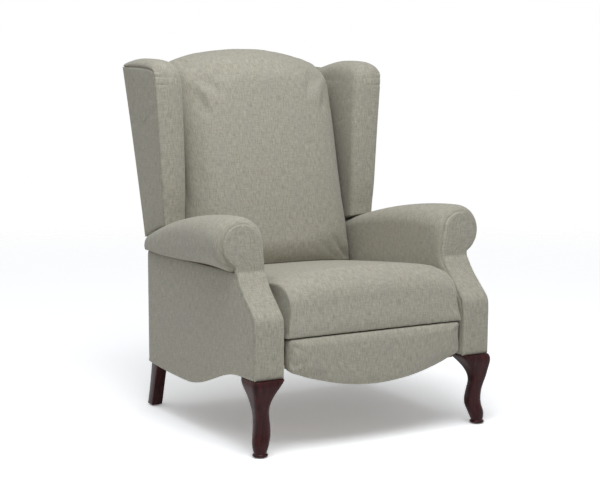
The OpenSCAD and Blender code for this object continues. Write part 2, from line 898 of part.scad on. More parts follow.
// The panel has a rim over the board's edge, and behind it a separate strip turns in to the outside back
module wing_panel(side) {
    t = wing_panel_t / cos(flare);
    rear = back_panel_t + joint_gap;
    levels = [wing_low + wing_turn_up, wing_top];
    color(fabric)
        placed(side) {
            union() {
                wing_slab(0, wing_panel_t)
                    wing_outline();
                wing_slab(0, wing_panel_t + wing_board_t)
                    difference() {
                        wing_outline();
                        translate([wing_edge_front - joint_gap, joint_gap - wing_edge_top])
                            wing_outline();
                    }
            }
            raked()
                loft([for (s = levels)
                    [[wing_face(s), joint_gap - wing_rear(s), s], [wing_face(s) - t, joint_gap - wing_rear(s), s],
                     [back_edge(s) - t, -rear, s], [back_edge(s), -rear, s]]]);
        }
}

module wing_board(side) {
    color(plywood)
        placed(side)
            wing_slab(wing_panel_t, wing_panel_t + wing_board_t)
                intersection() {
                    wing_outline();
                    translate([wing_edge_front, -wing_edge_top])
                        wing_outline();
                }
}

// Inner face of a wing board at a length up the rake
function board_face(s) = wing_face(s) - (wing_panel_t + wing_board_t) / cos(flare);

cleat_h = 60;
cleat_places = [170, 480];
cleat_rear_inset = 15;
module wing_cleats() {
    color(hardwood)
        for (side = [left, right], s = cleat_places)
            placed(side)
                raked()
                    deep(-post_d - back_panel_t, -back_panel_t - cleat_rear_inset)
                        polygon([
                            [post_out, s],
                            [board_face(s), s],
                            [board_face(s + cleat_h), s + cleat_h],
                            [post_out, s + cleat_h]
                        ]);
}

wing_front_r = 34;
wing_top_round = 52;
wing_pad_lean = 12;
wing_pad_edge = 4;
// Above this share of its length the wing's pad reaches back to the outside back
wing_close_share = 0.85;
// Depth of the wing's front edge at a share of its length
function wing_front(p) = lookup(p, [for (q = wing_shares) if (q[1] < 0.99) [q[1], q[0] * wing_depth]]);
function wing_ring(p) =
    let (s = wing_low + (wing_top - wing_low) * p)
    let (over = max(0, s - wing_top + wing_top_round) / wing_top_round)
    let (lean = wing_pad_lean * pow(p, 3))
    let (x0 = wing_inner_x + lean + wing_top_round * 0.8 * (1 - sqrt(max(0, 1 - over * over))))
    let (x1 = board_face(p == 0 ? wing_low_rear : s) - joint_gap, front = wing_front(p))
    let (rear = p > wing_close_share ? back_panel_t + joint_gap : pad_rear_t, panel = wing_panel_t / cos(flare))
    let (x2 = p > wing_close_share ? back_edge(s) - panel - joint_gap : (x0 + x1) / 2)
    let (r = min(wing_front_r, (x1 - x0) * 0.9), low = wing_low_rear - wing_low, reach = -wing_point(wing_shares[0])[0])
    [for (q = concat(
        [[x1, -pad_rear_t], [x1, -front + wing_pad_edge]],
        corner([x0 + r, -front + r], r, r, 270, 180, 5, 2.2),
        [[x0, -rear], [x2, -rear]]
    )) [q[0], q[1], s + (p == 0 ? low * (reach + q[1]) / reach : 0)]];

module wing_pad(side) {
    levels = [0, 0.1, 0.2, 0.3, 0.4, 0.5, 0.6, 0.7, 0.75, 0.79, 0.83, 0.872, 0.9, 0.93, 0.96, 0.985];
    color(fabric)
        placed(side)
            raked()
                loft([for (p = levels) wing_ring(p)]);
}

module outside_back_panel() {
    steps = 12;
    rise = panel_top - wing_top;
    high_x = back_edge(wing_top);
    color(fabric)
        placed()
            raked()
                deep(-back_panel_t, 0)
                    polygon(concat(
                        [[-post_out, panel_low], [post_out, panel_low], [post_out, wing_low_rear],
                         [wing_low_x, wing_low_rear]],
                        [for (k = [steps:-1:-steps]) [high_x * k / steps, wing_top + rise * cos(90 * k / steps)]],
                        [[-wing_low_x, wing_low_rear], [-post_out, wing_low_rear]]
                    ));
}

// Plate on a back post: it turns on the hinge bolt, and its lower pin pushes the seat forward
bracket_half_w = 12;
bracket_up = 150;
module back_bracket(side) {
    hinge = [hinge_y, hinge_z];
    foot = hinge - [0, drive_drop];
    head = [back_y, hinge_z] + bracket_up * [sin(back_rake), cos(back_rake)]
        - (post_d / 2 + back_panel_t) * [cos(back_rake), -sin(back_rake)];
    color(steel)
        placed(side)
            union() {
                across(back_plate_x, back_plate_x + plate_t)
                    difference() {
                        union() {
                            bar(foot, hinge, bracket_half_w);
                            bar(hinge, head, bracket_half_w);
                            translate(hinge)
                                circle(boss_r);
                        }
                        translate(hinge)
                            circle(back_bolt_r + pin_clearance);
                    }
                translate([slide_x - layer_gap, foot[0], foot[1]])
                    rotate([0, 90, 0])
                        cylinder(r = drive_r, h = back_plate_x + plate_t - slide_x + layer_gap);
            }
}

// One scissor link between two places, with bores at some and pins at others
// A pin starts at the link's inner face and runs outwards, or the other way when inward is set
module link(p, q, x, bores = [], pins = [], inward = false) {
    reach = link_t + layer_gap + link_t + pin_reach;
    color(steel)
        for (side = [left, right])
            placed(side)
                union() {
                    across(x, x + link_t)
                        difference() {
                            bar(p, q, link_half_w);
                            for (c = bores)
                                translate(c)
                                    circle(pin_r + pin_clearance);
                        }
                    for (c = pins)
                        translate([inward ? x + link_t - reach : x, c[0], c[1]])
                            rotate([0, 90, 0])
                                cylinder(r = pin_r, h = reach);
                }
}

module scissor_link_a() {
    link(upper_pin(0), lower_pin(1), link_outer_x, [upper_pin(0)], [crossing(1), lower_pin(1)], true);
}

module scissor_link_b() {
    reach = link_inner_x - guide_x;
    link(lower_pin(0), upper_pin(1), link_inner_x, [crossing(1)], [upper_pin(1)]);
    color(steel)
        for (side = [left, right])
            placed(side)
                translate([guide_x + cut, lower_pin(0)[0], lower_pin(0)[1]])
                    rotate([0, 90, 0])
                        cylinder(r = pin_r, h = reach);
}

module scissor_link_c() {
    link(upper_pin(1), lower_pin(2), link_outer_x, [upper_pin(1)], [crossing(2), lower_pin(2)], true);
}

module scissor_link_d() {
    link(lower_pin(1), upper_pin(2), link_inner_x, [lower_pin(1), crossing(2)], [upper_pin(2)]);
}

module scissor_link_e() {
    link(upper_pin(2), crossing(3), link_outer_x, [upper_pin(2)], [crossing(3)], true);
}

module scissor_link_f() {
    link(lower_pin(2), upper_pin(3), link_inner_x, [lower_pin(2), crossing(3)], [upper_pin(3)], true);
}

// Footrest
pad_front_y = -6;
pad_belly = 6;
pad_bow = 1;
pad_top_gap = 2;
pad_chamfer = 16;
pad_low_round = 12;
pad_edge_r = 14;
board_inset = 8;
board_top_gap = 24;
board_top_z = seat_underside - board_top_gap;
footrest_half_w = arm_in - footrest_gap;
footrest_board_y = pad_front_y + footrest_pad_t + joint_gap;
function footrest_low(x) = footrest_low_z + footrest_arc * pow(x / footrest_half_w, 2);
function footrest_ring(x) =
    let (e = drawn_in(x, footrest_half_w, pad_edge_r))
    let (y0 = pad_front_y - pad_belly * (1 - pow(x / footrest_half_w, 2)) + e, y1 = pad_front_y + footrest_pad_t)
    let (z0 = footrest_low(x) + e / 2, z1 = seat_underside - pad_top_gap - e / 2, r = pad_low_round)
    [for (p = concat(
        [[y1, z1 - pad_chamfer], [y1, z0 + r]],
        corner([y0 + r, z0 + r], r, r, 270, 180, 4, 2.2),
        [[y0 - pad_bow, (z0 + z1) / 2], [y0, z1 - r / 2], [y0 + r / 4, z1 - r / 8], [y0 + r / 2, z1 - r / 8]]
    )) [x, p[0], p[1]]];

module footrest_pad() {
    color(fabric)
        placed()
            loft([for (x = stations(footrest_half_w, 9)) footrest_ring(x)]);
}

module footrest_board() {
    steps = 12;
    half = footrest_half_w - board_inset;
    color(plywood)
        placed()
            deep(footrest_board_y, footrest_board_y + footrest_board_t)
                polygon(concat(
                    [[half, board_top_z], [-half, board_top_z]],
                    [for (k = [-steps:steps]) [half * k / steps, footrest_low(half * k / steps) + board_inset]]
                ));
}

flange_w = 18;
flange_low = 232;
flange_high = 280;
module footrest_brackets() {
    y0 = footrest_board_y + footrest_board_t;
    pin = upper_pin(3);
    color(steel)
        for (side = [left, right])
            placed(side)
                union() {
                    block([footrest_plate_x - flange_w, y0, flange_low],
                          [footrest_plate_x + link_t, y0 + link_t, flange_high]);
                    across(footrest_plate_x, footrest_plate_x + link_t)
                        difference() {
                            union() {
                                polygon([
                                    [y0, flange_low],
                                    [pin[0] + link_half_w, pin[1]],
                                    [pin[0], pin[1] + link_half_w],
                                    [y0, flange_high]
                                ]);
                                translate(pin)
                                    circle(link_half_w);
                            }
                            translate(pin)
                                circle(pin_r + pin_clearance);
                        }
                }
}

arm_board(left);  // arm_board_left
arm_board(right);  // arm_board_right
arm_front_posts();
arm_rear_posts();
arm_top_rails();
arm_roll(left);  // arm_roll_left
arm_roll(right);  // arm_roll_right
outside_arm_panel(left);  // outside_arm_panel_left
outside_arm_panel(right);  // outside_arm_panel_right
inside_arm_pad(left);  // inside_arm_pad_left
inside_arm_pad(right);  // inside_arm_pad_right
arm_facing(left);  // arm_facing_left
arm_facing(right);  // arm_facing_right
front_leg(left);  // front_leg_left
front_leg(right);  // front_leg_right
rear_leg(left);  // rear_leg_left
rear_leg(right);  // rear_leg_right
leg_bolts();
leg_glides();
base_rail(cross_rail_y);  // base_cross_rail
base_rail(rear_rail_y);  // base_rear_rail
lower_rear_panel();
seat_tracks();
back_pivot_bracket(left);  // back_pivot_bracket_left
back_pivot_bracket(right);  // back_pivot_bracket_right
back_pivot_bolts();
seat_cross_rail(seat_rail_front_y);  // seat_front_rail
seat_cross_rail(seat_rail_rear_y - seat_rail_t);  // seat_rear_rail
seat_side_rails();
seat_slide(left);  // seat_slide_left
seat_slide(right);  // seat_slide_right
scissor_guides();
glide_blocks();
seat_springs();
seat_cushion();
back_post(left);  // back_post_left
back_post(right);  // back_post_right
back_top_rail();
back_bottom_rail();
back_springs();
back_cushion();
wing_board(left);  // wing_board_left
wing_board(right);  // wing_board_right
wing_cleats();
wing_pad(left);  // wing_pad_left
wing_pad(right);  // wing_pad_right
wing_panel(left);  // wing_panel_left
wing_panel(right);  // wing_panel_right
outside_back_panel();
back_bracket(left);  // back_bracket_left
back_bracket(right);  // back_bracket_right
scissor_link_a();
scissor_link_b();
scissor_link_c();
scissor_link_d();
scissor_link_e();
scissor_link_f();
footrest_board();
footrest_pad();
footrest_brackets();
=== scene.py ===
import json
import math
import bpy
import bmesh
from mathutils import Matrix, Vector, noise


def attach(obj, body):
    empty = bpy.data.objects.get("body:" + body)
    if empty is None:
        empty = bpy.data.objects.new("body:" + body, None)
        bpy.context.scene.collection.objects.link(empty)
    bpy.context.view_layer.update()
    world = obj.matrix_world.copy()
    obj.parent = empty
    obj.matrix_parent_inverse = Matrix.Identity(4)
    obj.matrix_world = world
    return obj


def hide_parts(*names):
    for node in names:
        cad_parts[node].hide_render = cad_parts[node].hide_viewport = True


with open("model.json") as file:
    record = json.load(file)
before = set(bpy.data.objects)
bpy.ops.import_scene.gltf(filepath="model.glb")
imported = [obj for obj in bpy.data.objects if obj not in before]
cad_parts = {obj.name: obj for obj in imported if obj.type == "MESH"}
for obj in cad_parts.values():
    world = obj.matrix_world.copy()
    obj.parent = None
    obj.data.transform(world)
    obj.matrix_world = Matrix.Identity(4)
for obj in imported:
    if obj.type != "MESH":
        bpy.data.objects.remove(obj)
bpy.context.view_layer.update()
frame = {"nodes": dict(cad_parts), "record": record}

# A wing recliner. x runs across the chair, y towards its back and z up, all in metres.
chair = {
    "middleY": 0.4169586,   # distance from the arm fronts to the middle of the chair
    "armOut": 0.380, "armIn": 0.288, "armDepth": 0.677, "legTop": 0.205, "rollBottom": 0.478, "setback": 0.104,
    "facing": 0.008, "slit": 0.0003,   # thickness of the arm facings, and the air between two covers
    "backFootY": 0.6925, "hingeZ": 0.400, "rake": math.radians(13.4),
}


def spot(x, y, z):
    return Vector((x, y - chair["middleY"], z))


def leant(x, t, s):
    # a place in the raked frame of the back: t towards the rear, s up the rake
    c, n = math.cos(chair["rake"]), math.sin(chair["rake"])
    return spot(x, chair["backFootY"] + t * c + s * n, chair["hingeZ"] - t * n + s * c)


def unselect():
    if bpy.context.mode != "OBJECT":
        bpy.ops.object.mode_set(mode="OBJECT")
    bpy.ops.object.select_all(action="DESELECT")


def pickUp(piece):
    unselect()
    piece.select_set(True)
    bpy.context.view_layer.objects.active = piece


def applyAll(piece):
    pickUp(piece)
    for m in list(piece.modifiers):
        bpy.ops.object.modifier_apply(modifier=m.name)


def settle(piece):
    # leaves the object at the origin, with its place in its mesh
    pickUp(piece)
    bpy.ops.object.transform_apply(location=True, rotation=True, scale=True)


def opened(name):
    # names the new piece and opens it with all of it selected
    piece = bpy.context.object
    piece.name = name
    piece.data.name = name
    bpy.ops.object.mode_set(mode="EDIT")
    bpy.ops.mesh.select_all(action="SELECT")
    return piece


def closed(piece):
    bpy.ops.mesh.select_all(action="SELECT")
    bpy.ops.mesh.normals_make_consistent(inside=False)
    bpy.ops.object.mode_set(mode="OBJECT")
    settle(piece)


def smoother(piece, times=1):
    m = piece.modifiers.new("round", "SUBSURF")
    m.levels = m.render_levels = times
    applyAll(piece)
    pickUp(piece)
    bpy.ops.object.shade_smooth()
    return piece


def arcCorner(cy, cz, ry, rz, a0, a1, steps, fullness):
    # part of a superellipse between two angles in degrees; a fullness of 2 makes an ellipse
    out = []
    for k in range(steps + 1):
        a = math.radians(a0 + (a1 - a0) * k / steps)
        ca, sa = math.cos(a), math.sin(a)
        out.append((cy + ry * math.copysign(abs(ca) ** (2 / fullness), ca),
                    cz + rz * math.copysign(abs(sa) ** (2 / fullness), sa)))
    return out


def curveAt(points, shares, steps=24):
    # places at the given shares of the length of a smooth line through the points
    pts = [Vector(p) for p in points]
    fine = []
    for i in range(len(pts) - 1):
        p0, p1, p2, p3 = pts[max(0, i - 1)], pts[i], pts[i + 1], pts[min(len(pts) - 1, i + 2)]
        for k in range(steps):
            u = k / steps
            fine.append(0.5 * (2 * p1 + (p2 - p0) * u + (2 * p0 - 5 * p1 + 4 * p2 - p3) * u * u
                               + (3 * p1 - p0 - 3 * p2 + p3) * u ** 3))
    fine.append(pts[-1])
    run = [0.0]
    for a, b in zip(fine, fine[1:]):
        run.append(run[-1] + (b - a).length)
    out, j = [], 0
    for share in shares:
        want = run[-1] * share
        while j < len(run) - 2 and run[j + 1] < want:
            j += 1
        w = (want - run[j]) / max(1e-9, run[j + 1] - run[j])
        out.append(fine[j].lerp(fine[j + 1], min(1.0, w)))
    return out


def even(count):
    return [k / (count - 1) for k in range(count)]


def pieceFrom(bm, name):
    mesh = bpy.data.meshes.new(name)
    bm.to_mesh(mesh)
    bm.free()
    piece = bpy.data.objects.new(name, mesh)
    bpy.context.collection.objects.link(piece)
    return piece


def weld(bm):
    bmesh.ops.remove_doubles(bm, verts=bm.verts, dist=1e-6)
    bmesh.ops.recalc_face_normals(bm, faces=bm.faces)


def clothFromGrid(name, grid, wall=0):
    # A closed skin through rings of places. The weave map holds metres across and along the rings.
    # The first and last places of a ring may be the two sides of a thin wall, which is closed by itself.
    bm = bmesh.new()
    weave = bm.loops.layers.uv.new("weave")
    rows = [[bm.verts.new(p) for p in row] for row in grid]
    n, m = len(grid[0]), len(grid)
    run = []
    for row in grid:
        r = [0.0]
        for a, b in zip(row, row[1:] + row[:1]):
            r.append(r[-1] + (b - a).length)
        run.append(r)
    mid = n // 2
    wide = [0.0]
    for a, b in zip(grid, grid[1:]):
        wide.append(wide[-1] + (b[mid] - a[mid]).length)
    for i in range(m - 1):
        for j in range(n):
            k = (j + 1) % n
            face = bm.faces.new((rows[i][j], rows[i + 1][j], rows[i + 1][k], rows[i][k]))
            spread = ((wide[i], run[i][j]), (wide[i + 1], run[i + 1][j]), (wide[i + 1], run[i + 1][j + 1]),
                      (wide[i], run[i][j + 1]))
            for loop, uv in zip(face.loops, spread):
                loop[weave].uv = uv
    caps = []
    for row in (rows[0], rows[-1]):
        for k in range(wall - 1):
            caps.append(bm.faces.new((row[k], row[k + 1], row[-2 - k], row[-1 - k])))
        inner = row[wall - 1:n - wall + 1] if wall else row
        count = len(inner)
        centre = sum((v.co for v in inner), Vector()) / count
        step = 0.2
        for share in (0.8, 0.6, 0.4, step):
            ring = [bm.verts.new(centre + (v.co - centre) * share / (share + step)) for v in inner]
            for j in range(count):
                caps.append(bm.faces.new((inner[j], inner[(j + 1) % count], ring[(j + 1) % count], ring[j])))
            inner = ring
        middle = bm.verts.new(centre)
        for j in range(count):
            caps.append(bm.faces.new((inner[j], inner[(j + 1) % count], middle)))
    for face in caps:
        for loop in face.loops:
            loop[weave].uv = (loop.vert.co.y, loop.vert.co.z)
    weld(bm)
    return pieceFrom(bm, name)


# The bead along the hem of a pad: its width and its cloth's as shares of the hem, its height, the dip beside
# it, and how much of the pad's thickness a rounded edge may take.
pad = {"beadWide": 1.25, "hemWide": 1.2, "beadHigh": 0.0014, "dip": 0.0006, "dipFrom": 0.9, "deepest": 0.9}


def padFromGrid(name, grid, outward, thick, edge, puff, hem=0.0, rimShade=False):
    # A flat pad. grid holds rows of places on its face, edge the rounding at its first row, last row, first
    # column and last column, hem the height of the bead on column 0. The rim flag gives its rim the darker
    # cloth, painted shade for the shadow in the groove round the pad.
    m, n = len(grid), len(grid[0])
    face = []
    for i in range(m):
        row = []
        for j in range(n):
            p, out = grid[i][j], outward(i, j)
            gaps = ((p - grid[0][j]).length, (p - grid[-1][j]).length,
                    (p - grid[i][0]).length, (p - grid[i][-1]).length)
            drop = 0.0
            for gap, r in zip(gaps, edge):
                if r > 0 and gap < r:
                    drop = max(drop, r * (1 - math.sqrt(max(0.0, 1 - (1 - gap / r) ** 2))))
            u, v = 2 * i / (m - 1) - 1, 2 * j / (n - 1) - 1
            rise = puff * (1 - u ** 4) * (1 - v ** 4)
            if hem and gaps[2] < hem * pad["beadWide"]:
                w = gaps[2] / (hem * pad["beadWide"])
                rise += pad["beadHigh"] * math.sin(math.pi * w) - pad["dip"] * (w > pad["dipFrom"])
            row.append(p + out * (rise - min(drop, thick * pad["deepest"])))
        face.append(row)
    bm = bmesh.new()
    weave = bm.loops.layers.uv.new("weave")
    front = [[bm.verts.new(p) for p in row] for row in face]
    rear = [[bm.verts.new(grid[i][j] - outward(i, j) * thick) for j in range(n)] for i in range(m)]
    across = [[(grid[i][j] - grid[i][0]).length for j in range(n)] for i in range(m)]
    far = [0.0]
    for i in range(1, m):
        far.append(far[-1] + (grid[i][n // 2] - grid[i - 1][n // 2]).length)

    def quad(a, b, c, d, uvs, cloth=0):
        if len({a, b, c, d}) < 4:
            return
        f = bm.faces.new((a, b, c, d))
        f.material_index = cloth
        for loop, uv in zip(f.loops, uvs):
            loop[weave].uv = uv

    for i in range(m - 1):
        for j in range(n - 1):
            uvs = ((far[i], across[i][j]), (far[i + 1], across[i + 1][j]),
                   (far[i + 1], across[i + 1][j + 1]), (far[i], across[i][j + 1]))
            bead = hem > 0 and across[i][j + 1] < hem * pad["hemWide"]
            quad(front[i][j], front[i + 1][j], front[i + 1][j + 1], front[i][j + 1], uvs, 1 if bead else 0)
            quad(rear[i][j], rear[i][j + 1], rear[i + 1][j + 1], rear[i + 1][j], uvs)
    rim = [(i, 0) for i in range(m)] + [(m - 1, j) for j in range(1, n)]
    rim += [(i, n - 1) for i in range(m - 2, -1, -1)] + [(0, j) for j in range(n - 2, 0, -1)]
    for a, b in zip(rim, rim[1:] + rim[:1]):
        u = [(far[i], across[i][j]) for i, j in (a, b)]
        # with the rim flag the rim faces take the darker cloth: painted shade for the groove's shadow
        cloth = 1 if hem > 0 and a[1] == 0 and b[1] == 0 else 2 if rimShade else 0
        quad(front[a[0]][a[1]], front[b[0]][b[1]], rear[b[0]][b[1]], rear[a[0]][a[1]],
             (u[0], u[1], u[1], u[0]), cloth)
    weld(bm)
    return pieceFrom(bm, name)


stuffing = {"quality": 4, "mass": 0.3}


def stuffed(piece, soft, held, bound):
    # The cushion swells as stuffed cloth. It starts smaller, each place moves no further than soft["most"],
    # what held() names stays, and bound() keeps the cloth off its neighbours.
    pickUp(piece)
    verts = piece.data.vertices
    start = [v.co.copy() for v in verts]
    normals = [v.normal.copy() for v in verts]
    fixed = [k for k, p in enumerate(start) if held(p)]
    keep = piece.vertex_groups.new(name="keep")
    keep.add(fixed, 1.0, "REPLACE")
    cloth = piece.modifiers.new("cloth", "CLOTH")
    cloth.settings.quality = stuffing["quality"]
    cloth.settings.mass = stuffing["mass"]
    cloth.settings.use_pressure = True
    cloth.settings.uniform_pressure_force = soft["pressure"]
    cloth.settings.effector_weights.gravity = 0
    cloth.settings.vertex_group_mass = "keep"
    cloth.collision_settings.use_collision = False
    cloth.point_cache.frame_start = 1
    cloth.point_cache.frame_end = soft["steps"]
    for step in range(1, soft["steps"] + 1):
        bpy.context.scene.frame_set(step)
    bpy.ops.object.modifier_apply(modifier=cloth.name)
    bpy.context.scene.frame_set(1)
    fixed = set(fixed)
    reach = 0.0
    for k, v in enumerate(piece.data.vertices):
        move = v.co - start[k]
        reach = max(reach, move.length)
        if move.length > soft["most"]:
            move *= soft["most"] / move.length
        v.co = start[k] if k in fixed else bound(start[k] + move - normals[k] * soft["smaller"], start[k])
    piece.vertex_groups.clear()
    print(piece.name, "stuffed, furthest move", round(reach * 1000, 1), "mm")


def mirrored(piece, name):
    # the left piece as a copy of the right one
    pickUp(piece)
    bpy.ops.object.duplicate()
    twin = opened(name)
    bpy.ops.transform.mirror(constraint_axis=(True, False, False), center_override=(0, 0, 0))
    bpy.ops.mesh.normals_make_consistent(inside=False)
    bpy.ops.object.mode_set(mode="OBJECT")
    return twin


# Materials
def freshMaterial(name):
    mat = bpy.data.materials.new(name)
    mat.use_nodes = True
    return mat, mat.node_tree, mat.node_tree.nodes["Principled BSDF"]


def node(tree, kind, **values):
    made = tree.nodes.new(kind)
    for key, value in values.items():
        if key in made.inputs:
            made.inputs[key].default_value = value
        else:
            setattr(made, key, value)
    return made


def stretched(tree, source, scale, **noiseValues):
    spread = node(tree, "ShaderNodeMapping", Scale=scale)
    tree.links.new(source, spread.inputs["Vector"])
    tex = node(tree, "ShaderNodeTexNoise", Scale=1.0, **noiseValues)
    tree.links.new(spread.outputs["Vector"], tex.inputs["Vector"])
    return tex.outputs["Fac"]


def ramp(tree, source, stops):
    made = tree.nodes.new("ShaderNodeValToRGB")
    bands = made.color_ramp
    while len(bands.elements) < len(stops):
        bands.elements.new(0.5)
    for band, (place, colour) in zip(bands.elements, stops):
        band.position = place
        band.color = (*colour, 1)
    tree.links.new(source, made.inputs["Fac"])
    return made.outputs["Color"]


def mixed(tree, kind, a, b, share):
    made = node(tree, "ShaderNodeMix", data_type="RGBA", blend_type=kind)
    for value, socket in ((share, made.inputs[0]), (a, made.inputs[6]), (b, made.inputs[7])):
        if hasattr(value, "links"):
            tree.links.new(value, socket)
        else:
            socket.default_value = value
    return made.outputs[2]


def bumped(tree, skin, height, strength, distance):
    bump = node(tree, "ShaderNodeBump", Strength=strength, Distance=distance)
    tree.links.new(height, bump.inputs["Height"])
    tree.links.new(bump.outputs["Normal"], skin.inputs["Normal"])


def grey(value):
    return (value,) * 3


tweed = {
    "light": (0.480, 0.464, 0.386), "shade": (0.362, 0.350, 0.286), "fleck": (0.255, 0.246, 0.200),
    "slub": (0.560, 0.545, 0.460), "cool": (0.405, 0.386, 0.350),
    "yarn": (300, 44, 1), "cross": (48, 380, 5), "crossTones": (0.89, 1.07), "weaveTones": (0.95, 1.03),
    "thread": 0.0014, "band": 0.314,   # pitch of the threads, and a wave texture's band at scale 1
    "bump": 0.35, "bumpDeep": 0.0006, "rough": 0.92, "sheen": 0.25, "sheenRough": 0.45, "shine": 0.25,
    # tones laid over the yarn: scale and detail of their noise, where they start, where they are full, their share
    "layers": (("cool", (22, 9, 1), 2.0, 0.50, 0.72, 0.45), ("fleck", (430, 75, 3), 1.0, 0.60, 0.76, 0.45),
               ("slub", (380, 90, 7), 1.0, 0.60, 0.76, 0.35)),
}


def makeTweed(name, tint=(1, 1, 1)):
    mat, tree, skin = freshMaterial(name)
    at = node(tree, "ShaderNodeUVMap", uv_map="weave").outputs["UV"]
    yarn = stretched(tree, at, tweed["yarn"], Detail=3.0, Roughness=0.6)
    colour = ramp(tree, yarn, ((0.36, tweed["shade"]), (0.62, tweed["light"])))
    for tone, scale, detail, start, full, share in tweed["layers"]:
        place = stretched(tree, at, scale, Detail=detail, Roughness=0.5)
        amount = ramp(tree, place, ((start, grey(0)), (full, grey(share))))
        colour = mixed(tree, "MIX", colour, (*tweed[tone], 1), amount)
    across = stretched(tree, at, tweed["cross"], Detail=2.0, Roughness=0.5)
    low, high = tweed["crossTones"]
    colour = mixed(tree, "MULTIPLY", colour, ramp(tree, across, ((0.35, grey(low)), (0.65, grey(high)))), 1.0)
    threads = []
    for direction in "XY":
        wave = node(tree, "ShaderNodeTexWave", Scale=tweed["band"] / tweed["thread"], Distortion=1.2,
                    bands_direction=direction)
        tree.links.new(at, wave.inputs["Vector"])
        threads.append(wave.outputs["Color"])
    cloth = mixed(tree, "MULTIPLY", *threads, 1.0)
    low, high = tweed["weaveTones"]
    colour = mixed(tree, "MULTIPLY", colour, ramp(tree, cloth, ((0.0, grey(low)), (0.6, grey(high)))), 1.0)
    colour = mixed(tree, "MULTIPLY", colour, (*tint, 1), 1.0)
    tree.links.new(colour, skin.inputs["Base Color"])
    bumped(tree, skin, mixed(tree, "ADD", cloth, yarn, 0.7), tweed["bump"], tweed["bumpDeep"])
    skin.inputs["Roughness"].default_value = tweed["rough"]
    skin.inputs["Sheen Weight"].default_value = tweed["sheen"]
    skin.inputs["Sheen Roughness"].default_value = tweed["sheenRough"]
    skin.inputs["Specular IOR Level"].default_value = tweed["shine"]
    return mat


# colours, the axis of the grain, roughness and specular level
wood = {
    "mahogany": ((0.066, 0.012, 0.013), (0.024, 0.005, 0.006), 2, 0.17, 0.15),
    "hardwood": ((0.52, 0.36, 0.20), (0.40, 0.26, 0.13), 0, 0.55, 0.3),
    "plywood": ((0.62, 0.46, 0.29), (0.48, 0.34, 0.20), 1, 0.6, 0.3),
}
grain = {"across": 95, "along": 5, "pores": 7, "poreTone": 0.72, "poreShare": 0.7, "dull": 0.08,
         "bump": 0.12, "bumpDeep": 0.0003}


def makeWood(name):
    mat, tree, skin = freshMaterial(name)
    pale, dark, along, gloss, shine = wood[name]
    at = node(tree, "ShaderNodeTexCoord").outputs["Object"]
    scale = [grain["across"]] * 3
    scale[along] = grain["along"]
    streaks = stretched(tree, at, scale, Detail=5.0, Roughness=0.6, Distortion=0.4)
    pores = stretched(tree, at, [v * grain["pores"] for v in scale], Detail=2.0, Roughness=0.5)
    colour = ramp(tree, streaks, ((0.35, dark), (0.66, pale)))
    poreTone = ramp(tree, pores, ((0.36, grey(grain["poreTone"])), (0.52, grey(1))))
    colour = mixed(tree, "MULTIPLY", colour, poreTone, grain["poreShare"])
    tree.links.new(colour, skin.inputs["Base Color"])
    rough = ramp(tree, streaks, ((0.3, grey(gloss + grain["dull"])), (0.7, grey(gloss))))
    tree.links.new(rough, skin.inputs["Roughness"])
    bumped(tree, skin, pores, grain["bump"], grain["bumpDeep"])
    skin.inputs["Specular IOR Level"].default_value = shine
    return mat


metal = {"dark": (0.36, 0.37, 0.39), "pale": (0.55, 0.56, 0.58), "brush": (900, 40, 900), "rough": (0.42, 0.30)}


def makeSteel(name):
    mat, tree, skin = freshMaterial(name)
    at = node(tree, "ShaderNodeTexCoord").outputs["Object"]
    brushed = stretched(tree, at, metal["brush"], Detail=3.0, Roughness=0.6)
    tree.links.new(ramp(tree, brushed, ((0.3, metal["dark"]), (0.7, metal["pale"]))), skin.inputs["Base Color"])
    dull, bright = metal["rough"]
    tree.links.new(ramp(tree, brushed, ((0.3, grey(dull)), (0.7, grey(bright)))), skin.inputs["Roughness"])
    skin.inputs["Metallic"].default_value = 1.0
    return mat


moulded = {"dark": (0.70, 0.70, 0.66), "pale": (0.80, 0.80, 0.77), "clouds": 160, "rough": 0.42,
           "bump": 0.15, "bumpDeep": 0.0002}


def makeNylon(name):
    mat, tree, skin = freshMaterial(name)
    at = node(tree, "ShaderNodeTexCoord").outputs["Object"]
    cloudy = stretched(tree, at, grey(moulded["clouds"]), Detail=3.0, Roughness=0.6)
    tree.links.new(ramp(tree, cloudy, ((0.3, moulded["dark"]), (0.7, moulded["pale"]))), skin.inputs["Base Color"])
    bumped(tree, skin, cloudy, moulded["bump"], moulded["bumpDeep"])
    skin.inputs["Roughness"].default_value = moulded["rough"]
    return mat


fabric = makeTweed("fabric")
hemFabric = makeTweed("hemFabric", (1.06, 0.99, 0.97))
# a darker tweed laid on the wing seams and the facing rims: painted shade standing for the shadow in those grooves
grooveShadeFabric = makeTweed("grooveShadeFabric", (0.50, 0.49, 0.47))
mahogany = makeWood("mahogany")
hardwood = makeWood("hardwood")
plywood = makeWood("plywood")
steel = makeSteel("steel")
nylon = makeNylon("nylon")
print("materials ready")


def dress(piece, body, fill, *nodes):
    # gives an upholstered piece its cloths, the third a darker one that is painted shade for grooves, its body and the
    # solids that it stands for
    piece.data.materials.clear()
    for cloth in (fabric, hemFabric, grooveShadeFabric):
        piece.data.materials.append(cloth)
    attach(piece, body)
    if nodes:
        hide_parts(*nodes)


